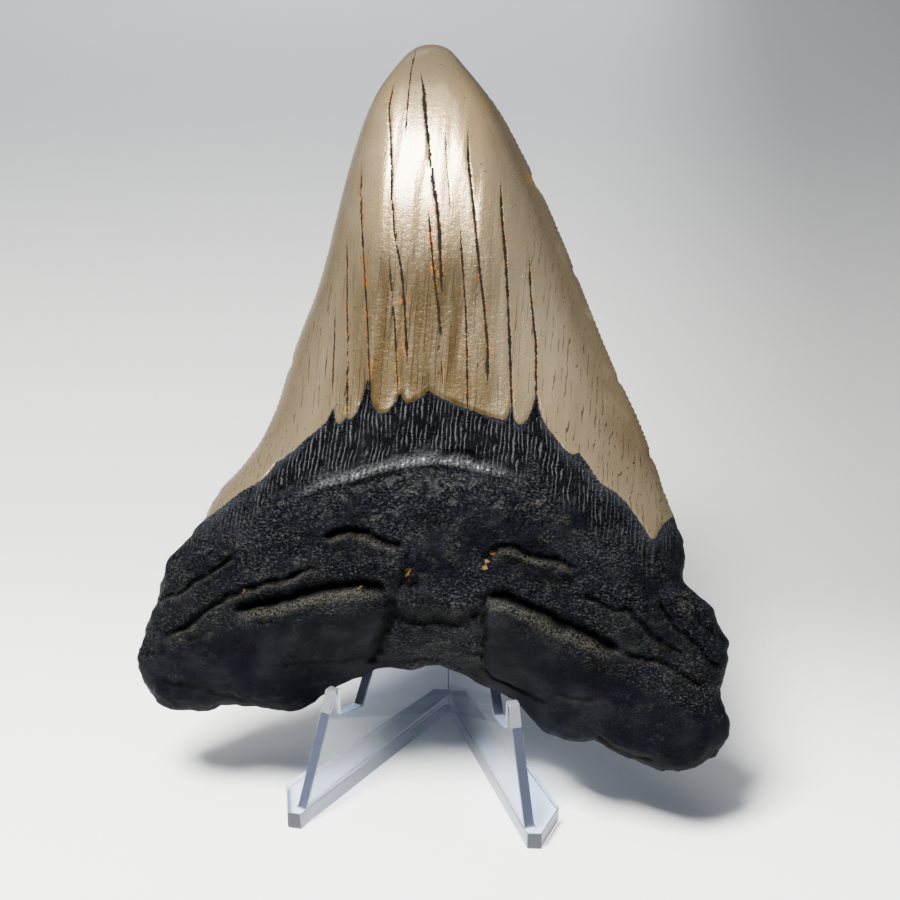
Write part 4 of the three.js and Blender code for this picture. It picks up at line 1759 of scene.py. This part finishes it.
@dataclass
class Studio:
    """Pale seamless floor, soft lights and the camera."""

    floor_colour: Colour = (0.935, 0.96, 0.99)
    floor_size: float = 6.0
    floor_drop: float = 0.02
    # Painted shade: the floor's colour darkens behind the stand, more so on the right, and again far behind
    # it, in metres.
    behind_left: float = 0.73
    behind_right: float = 0.35
    behind_x: Span = (-0.03, 0.11)
    behind_y: Span = (-0.04, 0.08)
    far_y: Span = (0.4, 1.2)
    far_shade: float = 0.08
    mottle_shade: float = 0.03
    room_colour: Colour = (0.8, 0.87, 1.0)
    room_strength: float = 0.21
    camera_place: Place = (0.04631, -0.31815, 0.19236)
    camera_pitch: float = 22.31
    camera_yaw: float = 8.29
    film_width: float = 36.0
    # The lens's focal length over the film's width.
    lens_share: float = 17.0 / 9.0

    def floor(self, mottle: NodeTree) -> bpy.types.Object:
        """The floor.

        Args:
            mottle: The shared mottle group.

        Returns:
            The floor.
        """
        half = self.floor_size / 2
        mesh = bpy.data.meshes.new("floor")
        low = -self.floor_drop * MM
        corners = [(-half, -half, low), (half, -half, low), (half, half, low), (-half, half, low)]
        mesh.from_pydata(corners, [], [(0, 1, 2, 3)])
        material, graph = new_material("pale_paper")
        place = graph.add("TexCoord").outputs["Object"]
        cloud = graph.group(mottle, Vector=place, Cloud_Size=0.05, Grain_Size=0.002)
        split = graph.add("SeparateXYZ", Vector=place)
        left, right = (
            tuple(channel * share for channel in self.floor_colour)
            for share in (self.behind_left, self.behind_right)
        )
        black = (0.0, 0.0, 0.0)
        away = graph.mix(graph.ramp(split.outputs[0], *self.behind_x), left, right)
        colour = graph.mix(graph.ramp(split.outputs[1], *self.behind_y), self.floor_colour, away)
        colour = graph.layers(colour, ((graph.ramp(split.outputs[1], *self.far_y), self.far_shade, black),))
        darker = graph.mix(self.mottle_shade, colour, black)
        colour = graph.mix(cloud.outputs["Cloud"], colour, darker)
        shader = graph.add("BsdfPrincipled", Base_Color=colour, Roughness=0.7)
        graph.add("OutputMaterial", Surface=shader.outputs[0])
        floor = add_object("floor", mesh, material)
        return floor

    @staticmethod
    def light(lamp: Lamp) -> None:
        """Hangs one light.

        Args:
            lamp: The light.
        """
        data = bpy.data.lights.new(lamp.name, "AREA")
        data.shape, data.size, data.energy, data.color = "SQUARE", lamp.size, lamp.watts, lamp.tint
        data.spread = math.radians(lamp.spread)
        light = bpy.data.objects.new(lamp.name, data)
        light.location = lamp.place
        aim = Vector(lamp.target) - Vector(lamp.place)
        light.rotation_euler = aim.to_track_quat("-Z", "Y").to_euler()
        bpy.context.scene.collection.objects.link(light)

    def room(self) -> None:
        """Adds the pale light that comes from all round."""
        world = bpy.data.worlds.new("room")
        world.use_nodes = True
        background = world.node_tree.nodes["Background"]
        background.inputs["Color"].default_value = (*self.room_colour, 1.0)
        background.inputs["Strength"].default_value = self.room_strength
        bpy.context.scene.world = world

    def camera(self) -> None:
        """Adds the camera, looking slightly down and from the right."""
        data = bpy.data.cameras.new("camera")
        data.sensor_width = self.film_width
        data.lens = self.film_width * self.lens_share
        data.clip_start, data.clip_end = 0.01, 20.0
        camera = bpy.data.objects.new("camera", data)
        turn = Matrix.Rotation(math.radians(self.camera_yaw), 4, "Z")
        tilt = Matrix.Rotation(math.radians(90.0 - self.camera_pitch), 4, "X")
        camera.matrix_world = Matrix.Translation(self.camera_place) @ turn @ tilt
        bpy.context.scene.collection.objects.link(camera)
        bpy.context.scene.camera = camera

    def make(self, mottle: NodeTree) -> None:
        """Sets up the whole studio.

        Args:
            mottle: The shared mottle group.
        """
        self.floor(mottle)
        for lamp in LAMPS:
            self.light(lamp)
        self.room()
        self.camera()


def report(piece: bpy.types.Object) -> None:
    """Logs a piece's size.

    Args:
        piece: The piece.
    """
    size = " x ".join(f"{side / MM:.1f}" for side in piece.dimensions)
    LOG.info("%s: %d faces, %s mm", piece.name, len(piece.data.polygons), size)


def main() -> None:
    """Builds the studio, the stand and the tooth, in that order."""
    logging.basicConfig(level=logging.INFO, format="%(name)s: %(message)s")
    mottle = mottle_group()
    Studio().make(mottle)
    for part in (Stand(), Tooth()):
        report(part.make(mottle))


if __name__ == "__main__":
    main()
